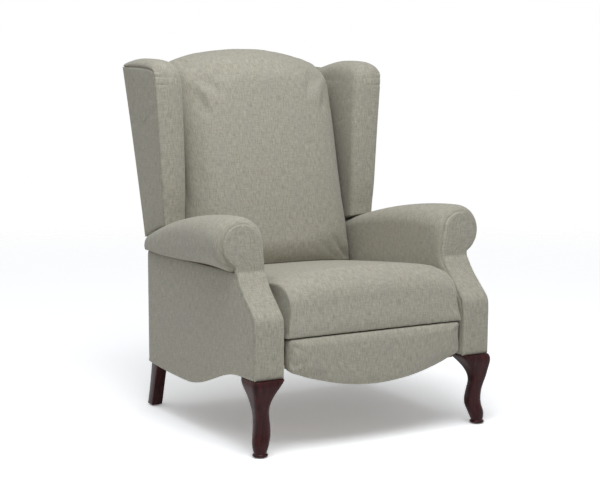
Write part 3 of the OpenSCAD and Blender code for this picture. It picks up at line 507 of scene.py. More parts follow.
# The seat cushion
seat = {
    "half": 0.283, "front": -0.006, "depth": 0.606, "bottom": 0.308, "side": 0.447,
    "crown": 0.026, "crownFade": 0.7, "fall": 0.068, "roundY": 0.091, "roundZ": 0.090,
    "edge": 0.007, "rear": 0.014, "under": 0.012,
    "lip": ((0.004, 0.002), (0.0005, 0.008), (-0.0015, 0.018), (-0.002, 0.032)),   # its lower front edge
    "pucker": 0.0012, "puckerWave": 0.0085, "puckerHigh": 0.012, "puckerDeep": 0.03,
    "soft": {"pressure": 4.0, "steps": 20, "most": 0.010, "smaller": 0.003},
    "held": 0.004, "halfMost": 0.2848, "rearMost": 0.600, "riseMost": 0.003,   # bounds of the cloth
}


def drawnIn(x, half, r):
    return 0.0 if abs(x) < half - r else r * (1 - math.sqrt(max(0.0, 1 - ((abs(x) - half + r) / r) ** 2)))


def stations(half, steps):
    return [half * math.sin(math.pi / 2 * k / steps) for k in range(-steps, steps + 1)]


def seatTop(x, y):
    s = seat
    crown = s["crown"] * (1 - (abs(x) / s["half"]) ** 3) * (1 - s["crownFade"] * (max(0.0, y) / s["depth"]) ** 2)
    return s["side"] - s["fall"] * (y - s["front"] - s["roundY"]) + crown


def seatRing(x):
    s = seat
    e = drawnIn(x, s["half"], s["edge"])
    y0, y1 = s["front"] + e * 0.6, s["front"] + s["depth"]
    top = seatTop(x, y0 + s["roundY"]) - e
    low = s["bottom"]
    ring = [(y1, low)] + [(y1 + (y0 + s["under"] - y1) * k / 12, low) for k in range(1, 13)]
    ring += [(y0 + dy, low + dz) for dy, dz in s["lip"]]
    ring += arcCorner(y0 + s["roundY"], top - s["roundZ"], s["roundY"], s["roundZ"], 180, 90, 18, 2.4)[1:]
    for k in range(1, 47):
        y = y0 + s["roundY"] + (y1 - s["rear"] - y0 - s["roundY"]) * k / 46
        ring.append((y, seatTop(x, y) - e))
    tail = seatTop(x, y1) - e - s["rear"]
    ring += arcCorner(y1 - s["rear"], tail, s["rear"], s["rear"], 90, 0, 4, 2)[1:]
    ring += [(y1, tail + (low - tail) * k / 5) for k in range(1, 5)]
    out = []
    for y, z in ring:
        near = math.exp(-max(0.0, z - low) / s["puckerHigh"]) * (y < s["puckerDeep"])
        wave = math.sin(x / s["puckerWave"] + 2.2 * noise.noise(Vector((x * 25, 3, 0))))
        out.append(spot(x, y - s["pucker"] * near * wave, z))
    return out


def seatBound(p, was):
    x = max(-seat["halfMost"], min(seat["halfMost"], p.x))
    return Vector((x, min(p.y, seat["rearMost"] - chair["middleY"]), min(p.z, was.z + seat["riseMost"])))


seatCushion = clothFromGrid("seatCushion", [seatRing(x) for x in stations(seat["half"], 40)])
stuffed(seatCushion, seat["soft"], lambda p: p.z < seat["bottom"] + seat["held"], seatBound)
smoother(seatCushion)
dress(seatCushion, "seat", 0.7, "seat_cushion")
print("seat cushion done")

# The back cushion, on a frame that leans back
back = {
    "half": 0.283, "top": 0.688, "side": 0.155, "crown": 0.042, "arch": 0.060, "bow": 0.6, "edge": 0.042,
    "clear": 0.0045, "round": 0.092, "roundT": 0.155, "lowRound": 0.045, "lowShare": 0.6, "fold": 0.04,
    "gap": 0.038, "rear": 0.051, "panel": 0.008, "board": 0.020, "over": 0.640, "overTop": 0.006,
    "peak": ((0.004, 0.001), (0.0003, 0.005)),
    # the tail behind the seat, as depths in the chair and heights over its foot
    "tail": 0.4075, "tailTop": (0.6365, 0.424), "tailFront": 0.606, "tailDrop": 0.003, "underRear": 0.603,
    "tailLine": ((0.635, 0.004), (0.630, 0), (0.611, 0), (0.6065, 0.004)),
    "soft": {"pressure": 4.0, "steps": 20, "most": 0.012, "smaller": 0.002},
    # what the cloth leaves alone, and its bounds
    "heldY": 0.655, "heldZ": 0.438, "heldLean": 0.22, "heldLow": 0.439, "halfMost": 0.2845, "lowMost": 0.45,
    "drop": 0.001,
}


def backArch(x):
    u = (x / back["half"]) ** 2
    return back["top"] - back["arch"] * (back["bow"] * u + (1 - back["bow"]) * u * u)


def backRing(x):
    b = back
    e = drawnIn(x, b["half"], b["edge"])
    t0 = -b["side"] - b["crown"] * (1 - (abs(x) / b["half"]) ** 2.6) + e
    top = backArch(x) - e / 2
    c, n = math.cos(chair["rake"]), math.sin(chair["rake"])

    def raked(y, z):
        y, z = y - chair["backFootY"], z - chair["hingeZ"]
        return y * c - z * n, y * n + z * c

    def above(y):
        return min(chair["hingeZ"] + b["gap"], seatTop(x, y) + b["clear"])

    yFront = chair["backFootY"] + t0 * c + b["fold"] * n
    low = raked(yFront, above(yFront))[1]
    rs, lr = b["round"], b["lowRound"]
    lt = lr * b["lowShare"]
    rt = min(b["roundT"], -t0 - b["panel"] - b["board"])
    over = min(b["over"], top - b["overTop"])
    rearLow = (b["gap"] - b["rear"] * n) / c
    ring = [(-b["rear"], rearLow), raked(*b["tailTop"])]
    ring += [raked(y, b["tail"] + z) for y, z in b["tailLine"]]
    ring.append(raked(b["tailFront"], above(b["tailFront"]) - b["tailDrop"]))
    for k in range(11):
        y = b["underRear"] + (yFront + lt - b["underRear"]) * k / 11
        ring.append(raked(y, above(y)))
    ring += arcCorner(t0 + lt, low + lr, lt, lr, 270, 180, 9, 2)
    ring += [(t0, low + lr + (top - rs - low - lr) * k / 36) for k in range(1, 36)]
    ring += arcCorner(t0 + rt, top - rs, rt, rs, 180, 90, 24, 2.05)
    ring += [(-b["panel"] - t, top - s) for t, s in b["peak"]] + [(-b["panel"] - chair["slit"], over)]
    ring += [(-b["rear"], over)] + [(-b["rear"], over + (rearLow - over) * k / 16) for k in range(1, 16)]
    return [leant(x, t, s) for t, s in ring]


def backHeld(p):
    rear = back["heldY"] - chair["middleY"] + (p.z - back["heldZ"]) * back["heldLean"]
    under = seatTop(p.x, p.y + chair["middleY"]) + back["clear"] + back["drop"]
    return p.y > rear or p.z < min(back["heldLow"], under)


def backBound(p, was):
    x = max(-back["halfMost"], min(back["halfMost"], p.x))
    return Vector((x, p.y, max(p.z, was.z - back["drop"]) if was.z < back["lowMost"] else p.z))


backCushion = clothFromGrid("backCushion", [backRing(x) for x in stations(back["half"], 40)])
stuffed(backCushion, back["soft"], backHeld, backBound)
smoother(backCushion)
dress(backCushion, "back", 0.7, "back_cushion")
print("back cushion done")

# The wings: an outer panel, a padded band with a seam and pleats, and an inner side
wing = {
    "low": 0.131, "lowRear": 0.122, "top": 0.641, "lowX": 0.364, "lean": 27 / 401, "innerX": 0.2895,
    "innerLean": 0.012, "inner": 2.8, "rear": 0.0083, "rearLean": 0.038, "turnIn": 0.003,
    # the seam's groove: its depth, its two lips and how far each of them goes in
    "seam": 0.0062, "lipOut": 0.0042, "lipMid": 0.0022, "lipIn": 0.0006, "midShare": 0.5, "inShare": 0.6,
    "crestLow": 0.028, "crestHigh": 0.036, "crestFrom": 0.40, "crestRun": 0.19,
    # pleats as places from the corner and shares of the depth, how uneven they are and where they fade
    "uneven": (0.8, 0.7, 60), "fade": 0.10, "innerPleat": 0.2, "innerFade": 0.05, "pleat": 0.0048,
    "pleatWide": 0.0032, "pleats": ((0.0, 1.0), (-0.015, 0.8), (-0.038, 0.9)),
    "rearBulge": (0.004, 0.002, 0), "sideBulge": 0.0025, "bulgeFrom": 0.05,
    "footDrop": 0.002, "footDepth": 0.144, "tipDrop": 0.006, "tipDepth": 0.030,
    # rows of places: spacing along the front and the top, and the rows that are spread evenly at the rear
    "frontLong": 0.45, "topLong": 0.22, "first": 0.0016, "coarse": 0.008, "fine": 0.0026, "fineFrom": 0.392,
    "fineTo": 0.034, "topCoarse": 0.0078, "evenFrom": 0.40, "evenRise": 0.235, "evenRow": 44,
    "rearShares": (0, 0.06, 0.25, 0.5, 0.75, 0.92, 0.98, 1),
    "sideShares": (0.01, 0.03, 0.13, 0.25, 0.38, 0.5, 0.63, 0.75, 0.87),
    # the seam round the outer panel, the crest of the padded band and the line where its inner side begins
    "seamFront": [(-0.144, 0.131), (-0.152, 0.165), (-0.170, 0.223), (-0.191, 0.313), (-0.212, 0.404), (-0.234, 0.493),
                  (-0.243, 0.530), (-0.249, 0.565)],
    "seamTop": [(-0.249, 0.565), (-0.228, 0.577), (-0.205, 0.586), (-0.161, 0.600), (-0.105, 0.616), (-0.047, 0.630)],
    "crestFront": [(-0.149, 0.131), (-0.158, 0.165), (-0.177, 0.223), (-0.199, 0.313), (-0.221, 0.404), (-0.244, 0.493),
                   (-0.254, 0.530), (-0.257, 0.564)],
    "crestTop": [(-0.257, 0.564), (-0.248, 0.588), (-0.220, 0.607), (-0.168, 0.625), (-0.108, 0.640), (-0.049, 0.646)],
    "innerFront": [(-0.119, 0.130), (-0.128, 0.165), (-0.146, 0.223), (-0.166, 0.313), (-0.186, 0.404), (-0.204, 0.493),
                   (-0.208, 0.515), (-0.208, 0.530)],
    "innerTop": [(-0.208, 0.530), (-0.198, 0.545), (-0.172, 0.558), (-0.134, 0.570), (-0.092, 0.580), (-0.047, 0.588)],
    "seamEnd": 0.637, "crestEnd": (0.336, 0.643), "innerEnd": 0.600,
}


def wingFace(s):
    return wing["lowX"] + (s - wing["low"]) * wing["lean"]


def wingRear(s):
    return -wing["rear"] - wing["rearLean"] * max(0.0, s - wing["lowRear"]) / (wing["top"] - wing["lowRear"])


def wingLines():
    # the seam, the crest and the inner line as rows of places, close together near the corner
    w = wing
    front = [0, w["first"] / w["frontLong"]] + [k * w["coarse"] / w["frontLong"] for k in range(1, 49)]
    front += [(w["fineFrom"] + k * w["fine"]) / w["frontLong"] for k in range(23)]
    top = [k * w["fine"] / w["topLong"] for k in range(1, 14)]
    top += [(w["fineTo"] + k * w["topCoarse"]) / w["topLong"] for k in range(1, 24)] + [1.0]
    turn = [k / 8 for k in range(1, 9)]
    rear = -w["rear"]

    def line(a, b, place, end):
        pts = curveAt([(0, t, s) for t, s in a], front) + curveAt([(0, t, s) for t, s in b], top)
        pts = [Vector((place(p.z), p.y, p.z)) for p in pts]
        last = pts[-1].copy()
        return pts + [last.lerp(Vector(end), u) for u in turn]

    def crestX(s):
        up = min(1.0, max(0.0, (s - w["crestFrom"]) / w["crestRun"]))
        return wingFace(s) - w["crestLow"] - (w["crestHigh"] - w["crestLow"]) * up * up * (3 - 2 * up)

    def innerPlace(s):
        return w["innerX"] + w["innerLean"] * max(0.0, (s - w["low"]) / w["frontLong"]) ** 3

    crestOut, crestUp = w["crestEnd"]
    seam = line(w["seamFront"], w["seamTop"], wingFace, (w["lowX"] - w["turnIn"], rear, w["seamEnd"]))
    crest = line(w["crestFront"], w["crestTop"], crestX, (crestOut, rear, crestUp))
    inner = line(w["innerFront"], w["innerTop"], innerPlace, (w["innerX"] + w["innerLean"], rear, w["innerEnd"]))
    return seam, crest, inner, len(front), len(front) + len(top)


def makeWing(name):
    # strips from the rear edge over the panel, the seam, the band and the inner side, one above the other
    w = wing
    seam, crest, inner, corner, turn = wingLines()
    run = 0.0
    place = []
    for i, p in enumerate(seam):
        run += (p - seam[i - 1]).length if i else 0.0
        place.append(run)
    cornerAt = place[corner - 1]
    strips = []
    for i, (a, b, c) in enumerate(zip(seam, crest, inner)):
        atSide = i < turn - 1
        level = a.z
        if level > w["evenFrom"] and i > w["evenRow"]:
            step = (min(i, turn - 1) - w["evenRow"]) / (turn - 1 - w["evenRow"])
            level = w["evenFrom"] + w["evenRise"] * step
        turnedIn = w["turnIn"] * (level - w["lowRear"]) / (w["top"] - w["lowRear"])
        edge = Vector((w["lowX"] - turnedIn, -w["rear"], level))
        heel = Vector((wingFace(level), wingRear(level), level))
        if not atSide:
            edge = heel = a
        strip = []
        for u in w["rearShares"]:
            strip.append(edge.lerp(heel, u) + Vector(w["rearBulge"]) * math.sin(math.pi * u) * atSide)
        for u in w["sideShares"]:
            p = heel.lerp(a, u)
            p.x += w["sideBulge"] * math.sin(math.pi * u) * min(1.0, (p.z - w["low"]) / w["bulgeFrom"]) * atSide
            strip.append(p)
        out = Vector((0, b.y - a.y, b.z - a.z))
        if out.length < 1e-6:
            out = Vector((0, 0, 1))
        out.normalize()
        strip.append(a - out * w["lipOut"])
        strip.append(a - out * w["lipMid"] - Vector((w["seam"] * w["midShare"], 0, 0)))
        strip.append(a - Vector((w["seam"], 0, 0)))
        strip.append(a + out * w["lipIn"] - Vector((w["seam"] * w["inShare"], 0, 0)))
        gap = place[i] - cornerAt
        pleat = sum(share * math.exp(-((gap - at) / w["pleatWide"]) ** 2) for at, share in w["pleats"])
        for k in range(1, 9):
            r = math.pi / 2 * k / 8
            up = math.sin(r)
            p = Vector((a.x + (b.x - a.x) * (1 - math.cos(r)), a.y + (b.y - a.y) * up, a.z + (b.z - a.z) * up))
            usual, more, close = w["uneven"]
            uneven = usual + more * noise.noise(Vector((k * 0.35, gap * close, 4)))
            strip.append(p - out * w["pleat"] * pleat * uneven * (1 - w["fade"] * k))
        for k in range(1, 13):
            r = math.pi / 2 * k / 12
            sa, ca = math.sin(r) ** (2 / w["inner"]), math.cos(r) ** (2 / w["inner"])
            p = Vector((b.x + (c.x - b.x) * sa, b.y + (c.y - b.y) * (1 - ca), b.z + (c.z - b.z) * (1 - ca)))
            strip.append(p - out * w["pleat"] * pleat * max(0.0, w["innerPleat"] - w["innerFade"] * k))
        last = Vector((w["innerX"] + w["innerLean"] * 0.5, -w["rear"], min(level, c.z)))
        if not atSide:
            last = Vector((c.x, -w["rear"], c.z))
        if i == len(seam) - 1:
            last = c
        strip += [c.lerp(last, k / 9) for k in range(1, 10)]
        if i == 0:
            for p in strip:
                p.z = (w["lowRear"] - w["footDrop"] + (w["low"] - w["lowRear"]) * min(1.0, -p.y / w["footDepth"])
                       - w["tipDrop"] * max(0.0, 1 + p.y / w["tipDepth"]))
        strips.append(strip)
    bm = bmesh.new()
    rows = [[bm.verts.new(p) for p in strip] for strip in strips]
    seamAt = len(w["rearShares"]) + len(w["sideShares"])
    for i in range(len(rows) - 1):
        for j in range(len(rows[0]) - 1):
            face = bm.faces.new((rows[i][j], rows[i][j + 1], rows[i + 1][j + 1], rows[i + 1][j]))
            # the three rows of faces in the seam's groove take the darker cloth: painted shade for the groove's shadow
            face.material_index = 2 if seamAt <= j < seamAt + 3 else 0
    bmesh.ops.remove_doubles(bm, verts=bm.verts, dist=2e-5)
    ends = sorted((v for v in bm.verts if v.is_boundary and abs(v.co.y + w["rear"]) < 1e-4), key=lambda v: v.co.z)[:2]
    if bm.edges.get(ends) is None:
        bm.edges.new(ends)
    bmesh.ops.holes_fill(bm, edges=[e for e in bm.edges if len(e.link_faces) < 2], sides=0)
    bmesh.ops.triangulate(bm, faces=[f for f in bm.faces if len(f.verts) > 4])
    bmesh.ops.recalc_face_normals(bm, faces=bm.faces)
    weave = bm.loops.layers.uv.new("weave")
    bm.normal_update()
    for face in bm.faces:
        nx, ny, nz = (abs(v) for v in face.normal)
        for loop in face.loops:
            x, t, s = loop.vert.co
            loop[weave].uv = (t, s) if nx >= max(ny, nz) else (x, s) if ny >= nz else (t, x)
    for v in bm.verts:
        v.co = leant(*v.co)
    piece = pieceFrom(bm, name)
    return smoother(piece)


wingRight = makeWing("wingRight")
wingLeft = mirrored(wingRight, "wingLeft")
dress(wingRight, "back", 0.6, "wing_pad_right", "wing_panel_right")
dress(wingLeft, "back", 0.6, "wing_pad_left", "wing_panel_left")
print("wings done")

# The arms: a cloth that wraps the roll and falls down the inside
arm = {
    "rollX": 0.360, "rollR": 0.0755, "scrollX": 0.358, "scrollR": 0.057, "topZ": 0.624, "fall": 0.097,
    "rearX": 0.336, "rearR": 0.052, "peakY": 0.130, "innerX": 0.2855, "innerLow": 0.206, "innerRear": 0.575,
    "roundY": 0.024, "full": 2.0, "fullRear": 1.5, "tuck": 0.003, "tuckHigh": 0.009, "groove": 0.005,
    # share of the ring and number of places that are the inside wall, share of the depth that is rounded
    "wall": 0.3, "wallRows": 15, "lead": 0.25, "leadIn": 0.007, "padLow": 0.33, "padLowX": 0.2882,
    "inPad": 0.300, "bed": (0.372, 0.345, 0.320),
    # the front of the arm as depths and heights, straight up to the fourth place
    "slope": [(0.0, 0.205), (0.0, 0.25), (0.0, 0.30), (0.0, 0.345), (0.006, 0.369), (0.036, 0.399),
              (0.074, 0.437), (0.104, 0.478)],
}


def slopeY(z):
    # how far the front of the arm has gone back at height z
    for (y0, z0), (y1, z1) in zip(arm["slope"], arm["slope"][1:]):
        if z <= z1:
            return y0 + (y1 - y0) * max(0.0, z - z0) / (z1 - z0)
    return chair["setback"]


def slopeZ(y):
    for (y0, z0), (y1, z1) in zip(arm["slope"][3:], arm["slope"][4:]):
        if y <= y1:
            return z0 + (z1 - z0) * max(0.0, y - y0) / (y1 - y0)
    return chair["rollBottom"]


def rollAt(y):
    # middle, height and radius of the roll at depth y
    a = arm
    b = max(0.0, (y - a["peakY"]) / (chair["armDepth"] - a["peakY"]))
    r = a["rollR"] + (a["rearR"] - a["rollR"]) * b
    x = a["rollX"] + (a["rearX"] - a["rollX"]) * b
    z = a["topZ"] - a["fall"] * b * b - r
    y0 = chair["setback"] + chair["facing"]
    if y < y0 + a["roundY"]:
        k = max(0.0, (y - y0) / a["roundY"])
        w = math.sqrt(max(0.0, 1 - (1 - k) ** 2))
        r = a["scrollR"] - a["groove"] + (r - a["scrollR"] + a["groove"]) * w
        x = a["scrollX"] + (x - a["scrollX"]) * w
        z = a["topZ"] - a["rollR"]
    return x, z, r


def armWrapPoint(a, b):
    # a runs from the inside of the arm, over the roll, to the crease at the outside; b runs front to back
    bottom = chair["rollBottom"] + chair["slit"]
    y0 = chair["setback"] + chair["facing"] + chair["slit"]
    rear = chair["armDepth"]
    frontZ = arm["topZ"] - arm["rollR"]
    wall, low = arm["wall"], arm["innerLow"]
    u = a / wall
    yStart, yEnd = y0, rear
    if a < wall:
        yStart = slopeY(low + (frontZ - low) * u) + chair["facing"] + chair["slit"]
        yEnd = arm["innerRear"] + (rear - arm["innerRear"]) * u ** 6
    lead = min(1.0, b / arm["lead"])
    ahead = arm["roundY"] * (1 - math.cos(math.pi / 2 * lead))
    y = yStart + ahead + (yEnd - yStart - arm["roundY"]) * max(0.0, b - arm["lead"]) / (1 - arm["lead"])
    cx, cz, r = rollAt(max(y, y0) if a >= wall else y0 + max(0.0, y - yStart))
    if a < wall:
        z = low + (max(cz, bottom) - low) * u
        x = arm["innerX"] + arm["leadIn"] * (1 - math.sin(math.pi / 2 * lead)) * min(1.0, (1 - u) * 5)
        if z < arm["padLow"]:
            x = max(x, arm["padLowX"])
        join = max(x, cx - r)
        return spot(join if u > 0.97 else x + (join - x) * u ** 8, y, z)
    u = (a - wall) / (1 - wall)
    full = arm["full"] + arm["fullRear"] * max(0.0, (y - arm["peakY"]) / (rear - arm["peakY"]))
    crease = (bottom - cz) / r
    end = math.copysign(math.asin(min(1.0, abs(crease)) ** (full / 2)), crease)
    start = math.pi - max(0.0, end)
    t = start + (end - start) * u
    ct, st = math.cos(t), math.sin(t)
    x = cx + r * math.copysign(abs(ct) ** (2 / full), ct)
    z = cz + r * math.copysign(abs(st) ** (2 / full), st)
    if x > cx:
        x -= arm["tuck"] * math.exp(-(z - bottom) / arm["tuckHigh"])
    return spot(max(arm["innerX"], x), y, max(bottom, z))


def makeArmWrap(name):
    wall, count, lead = arm["wall"], arm["wallRows"], arm["lead"]
    across = [wall * (k / (count - 1)) for k in range(count)] + [wall + (1 - wall) * k / 40 for k in range(1, 41)]
    alongs = [0, 0.03, 0.07, 0.12, 0.18, lead]
    alongs += [lead + (1 - lead) * k / 30 for k in range(1, 30)] + [0.99, 0.997, 1]
    bottom = chair["rollBottom"] + chair["slit"]
    grid = []
    for b in alongs:
        row = [armWrapPoint(a, b) for a in across]
        y = row[-1].y
        row += [Vector((x, y, bottom)) for x in arm["bed"]]
        row += [Vector((arm["inPad"], p.y, min(p.z, bottom))) for p in reversed(row[:count])]
        grid.append(row)
    piece = clothFromGrid(name, grid, count)
    return smoother(piece)


armRollRight = makeArmWrap("armRollRight")
armRollLeft = mirrored(armRollRight, "armRollLeft")
dress(armRollRight, "base", 0.8, "arm_roll_right", "inside_arm_pad_right")
dress(armRollLeft, "base", 0.8, "arm_roll_left", "inside_arm_pad_left")
print("arm rolls done")

# The arm facings, with the scroll
facing = {"thick": 0.0078, "puff": 0.0035, "inRound": 0.0075, "outRound": 0.0022, "inset": 0.0035, "hem": 0.005,
          "joinZ": 0.4959, "sideRound": 0.001, "columns": 28}


def facingSpan(z):
    a = arm
    cz = a["topZ"] - a["rollR"]
    dz = z - cz
    circle = math.sqrt(max(0.0, a["scrollR"] ** 2 - dz * dz))
    inX, outX = a["scrollX"] - circle, a["scrollX"] + circle
    if z < facing["joinZ"] or dz < 0 and outX < chair["armOut"]:
        outX = chair["armOut"]
    if dz < 0:
        k = max(0.0, (z - chair["rollBottom"]) / (cz - chair["rollBottom"]))
        inX = chair["armIn"] + facing["inset"]
        inX += (a["scrollX"] - a["scrollR"] - inX) * k * k
    return inX, outX


def makeFacing(name):
    lower = curveAt([(y, z, 0) for y, z in arm["slope"]], even(44))
    profile = [(p.x, p.y) for p in lower]
    cz = arm["topZ"] - arm["rollR"]
    top = cz + arm["scrollR"]
    back, low = chair["setback"], chair["rollBottom"]
    profile += [(back, low + (cz - low) * k / 12) for k in range(1, 13)]
    profile += [(back, cz + (top - cz) * math.sin(math.pi / 2 * k / 14)) for k in range(1, 15)]
    grid, outs = [], []
    columns = facing["columns"]
    for j, (y, z) in enumerate(profile):
        a, b = profile[max(0, j - 1)], profile[min(len(profile) - 1, j + 1)]
        dy, dz = b[0] - a[0], b[1] - a[1]
        size = math.hypot(dy, dz)
        outs.append(Vector((0, -dz / size, dy / size)))
        inX, outX = facingSpan(min(z, top - 0.00005))
        shares = [(1 - math.cos(math.pi * k / columns)) / 2 for k in range(columns + 1)]
        grid.append([spot(inX + (outX - inX) * share, y, z) for share in shares])
    turned = [[row[i] for row in grid] for i in range(columns + 1)]
    f = facing
    edge = (f["inRound"], f["outRound"], f["sideRound"], f["inRound"])
    # True gives the rim the darker cloth: painted shade for the groove round the scroll
    piece = padFromGrid(name, turned, lambda i, j: outs[j], f["thick"], edge, f["puff"], f["hem"], True)
    return smoother(piece)


armFacingRight = makeFacing("armFacingRight")
armFacingLeft = mirrored(armFacingRight, "armFacingLeft")
dress(armFacingRight, "base", 0.8, "arm_facing_right")
dress(armFacingLeft, "base", 0.8, "arm_facing_left")
print("arm facings done")

# The outside arm panels, with their scalloped lower edge
panel = {"thick": 0.0078, "puff": 0.003, "step": 0.086, "drop": 0.073, "lowShare": 0.6, "rise": 0.16, "hem": 0.005,
         "edge": (0.0, 0.004, 0.001, 0.002), "hemRows": (0, 0.0012, 0.0025, 0.004, 0.005, 0.0062)}


def scallop(y):
    y0, y1 = panel["step"], chair["armDepth"] * panel["lowShare"]
    if y < y0:
        return chair["legTop"]
    if y < y1:
        return chair["legTop"] - panel["drop"] * (1 - math.cos(math.pi * (y - y0) / (y1 - y0))) / 2
    return chair["legTop"] - panel["drop"] * (1 - panel["rise"] * ((y - y1) / (chair["armDepth"] - y1)) ** 2)


def hemmed(low, high, count):
    # heights up a panel, close together at its hem
    rows = panel["hemRows"]
    span = high - low - rows[-1]
    return [low + h for h in rows] + [low + rows[-1] + span * k / count for k in range(1, count + 1)]


def makeArmPanel(name):
    start = chair["facing"] + chair["slit"]
    ys = [start + chair["setback"] * k / 16 for k in range(16)]
    ys += [start + chair["setback"] + (chair["armDepth"] - start - chair["setback"]) * k / 50 for k in range(51)]
    rows = [[spot(chair["armOut"], y, z) for z in hemmed(scallop(y), slopeZ(y - start), 24)] for y in ys]
    outward = Vector((1, 0, 0))
    piece = padFromGrid(name, rows, lambda i, j: outward, panel["thick"], panel["edge"], panel["puff"], panel["hem"])
    return smoother(piece)


armPanelRight = makeArmPanel("armPanelRight")
armPanelLeft = mirrored(armPanelRight, "armPanelLeft")
dress(armPanelRight, "base", 0.9, "outside_arm_panel_right")
dress(armPanelLeft, "base", 0.9, "outside_arm_panel_left")
print("arm panels done")

# The panels at the rear
rearPanel = {"half": 0.3717, "low": 0.205, "high": 0.394, "thick": 0.0076, "puff": 0.0025, "postOut": 0.2805,
             "dip": 0.021, "dipX": 0.335, "dipRun": 0.035, "edge": (0.004, 0.004, 0.001, 0.004),
             "bottom": 0.008, "shoulder": 0.122, "top": 0.641, "rise": 0.021, "shoulderX": 0.364, "highX": 0.361,
             "step": 0.0005, "backPuff": 0.003, "backEdge": (0.003, 0.003, 0.002, 0.004)}
rearCover = {"inX": 0.2862, "wide": 0.0855, "low": 0.3945, "high": 0.0833, "edge": (0.003,) * 4, "puff": 0.001}


def makeLowerRear(name):
    r = rearPanel
    rows = []
    for i in range(49):
        x = -r["half"] + 2 * r["half"] * i / 48
        u = min(1.0, max(0.0, (r["dipX"] - abs(x)) / r["dipRun"]))
        low = r["low"] - r["dip"] * u * u * (3 - 2 * u)
        rows.append([spot(x, chair["armDepth"], z) for z in hemmed(low, r["high"], 14)])
    outward = Vector((0, 1, 0))
    piece = padFromGrid(name, rows, lambda i, j: outward, r["thick"], r["edge"], r["puff"], panel["hem"])
    return smoother(piece)


def makeRearCover(name):
    # the cloth over the rear face of an arm, between the lower panel and the roll
    r = rearCover
    rows = [[spot(r["inX"] + r["wide"] * i / 12, chair["armDepth"], r["low"] + r["high"] * k / 12) for k in range(13)]
            for i in range(13)]
    outward = Vector((0, 1, 0))
    piece = padFromGrid(name, rows, lambda i, j: outward, rearPanel["thick"], r["edge"], r["puff"])
    return smoother(piece)


def makeOutsideBack(name):
    r = rearPanel
    levels = [r["bottom"] + (r["shoulder"] - r["bottom"]) * k / 6 for k in range(7)]
    spans = [r["postOut"]] * 7
    for k in range(31):
        s = r["shoulder"] + r["step"] + (r["top"] - r["shoulder"] - r["step"]) * k / 30
        levels.append(s)
        share = (s - r["shoulder"]) / (r["top"] - r["shoulder"])
        spans.append(r["shoulderX"] + (r["highX"] - r["shoulderX"]) * share)
    for k in range(1, 11):
        a = math.pi / 2 * (1 - k / 10.2)
        levels.append(r["top"] + r["rise"] * math.cos(a))
        spans.append(r["highX"] * a / (math.pi / 2))
    rows = [[leant(-half + 2 * half * i / 36, 0, s) for s, half in zip(levels, spans)] for i in range(37)]
    out = (leant(0, 1, 0) - leant(0, 0, 0)).normalized()
    piece = padFromGrid(name, rows, lambda i, j: out, r["thick"], r["backEdge"], r["backPuff"])
    return smoother(piece)


dress(makeLowerRear("lowerRearPanel"), "base", 0.9, "lower_rear_panel")
dress(makeOutsideBack("outsideBack"), "back", 0.9, "outside_back_panel")
rearCoverRight = makeRearCover("armRearCoverRight")
rearCoverLeft = mirrored(rearCoverRight, "armRearCoverLeft")
dress(rearCoverRight, "base", 0.9)
dress(rearCoverLeft, "base", 0.9)
print("rear panels done")

# The footrest
rest = {"half": 0.280, "low": 0.156, "arc": 0.063, "front": -0.006, "belly": 0.006, "thick": 0.028, "swell": 0.002,
        "top": 0.306, "edge": 0.014, "round": 0.012, "topRound": 0.012, "flat": 0.024, "rearTop": (0.002, 0.016),
        "pucker": 0.0010, "puckerAt": 0.004, "puckerWave": 0.0105, "puckerHigh": 0.010, "puckerDeep": 0.014,
        "soft": {"pressure": 2.5, "steps": 16, "most": 0.005, "smaller": 0.001},
        "held": 0.003, "halfMost": 0.2815, "topMost": 0.3065, "topFrom": 0.29}


def restRing(x):
    r = rest
    e = drawnIn(x, r["half"], r["edge"])
    y0 = r["front"] - r["belly"] * (1 - (x / r["half"]) ** 2) + e
    y1 = r["front"] + r["thick"]
    z0 = r["low"] + r["arc"] * (x / r["half"]) ** 2 + e / 2
    z1 = r["top"] - e / 2
    low, high = r["round"], r["topRound"]
    ring = [(y1, z1 - h) for h in r["rearTop"]] + [(y1, (z0 + z1) / 2), (y1, z0 + low)]
    ring += arcCorner(y0 + low, z0 + low, low, low, 270, 180, 7, 2.2)
    n = 16
    for k in range(1, n):
        u = k / n
        ring.append((y0 - r["swell"] * math.sin(math.pi * u), z0 + low + (z1 - high - z0 - low) * u))
    ring += arcCorner(y0 + high, z1 - high, high, high, 180, 90, 6, 2.2)
    ring.append((y0 + r["flat"], z1 - 0.001))
    out = []
    for y, z in ring:
        near = math.exp(-abs(z1 - r["puckerAt"] - z) / r["puckerHigh"]) * (y < y0 + r["puckerDeep"])
        wave = math.sin(x / r["puckerWave"] + 2.5 * noise.noise(Vector((x * 22, 7, 1))))
        out.append(spot(x, y - r["pucker"] * near * wave, z))
    return out


def restBound(p, was):
    x = max(-rest["halfMost"], min(rest["halfMost"], p.x))
    return Vector((x, p.y, max(was.z, min(p.z, rest["topMost"])) if was.z > rest["topFrom"] else p.z))


footrestPad = clothFromGrid("footrestPad", [restRing(x) for x in stations(rest["half"], 36)])
stuffed(footrestPad, rest["soft"],
        lambda p: p.y > rest["front"] + rest["thick"] - rest["held"] - chair["middleY"], restBound)
smoother(footrestPad)
dress(footrestPad, "footrest", 0.7, "footrest_pad")
print("footrest done")

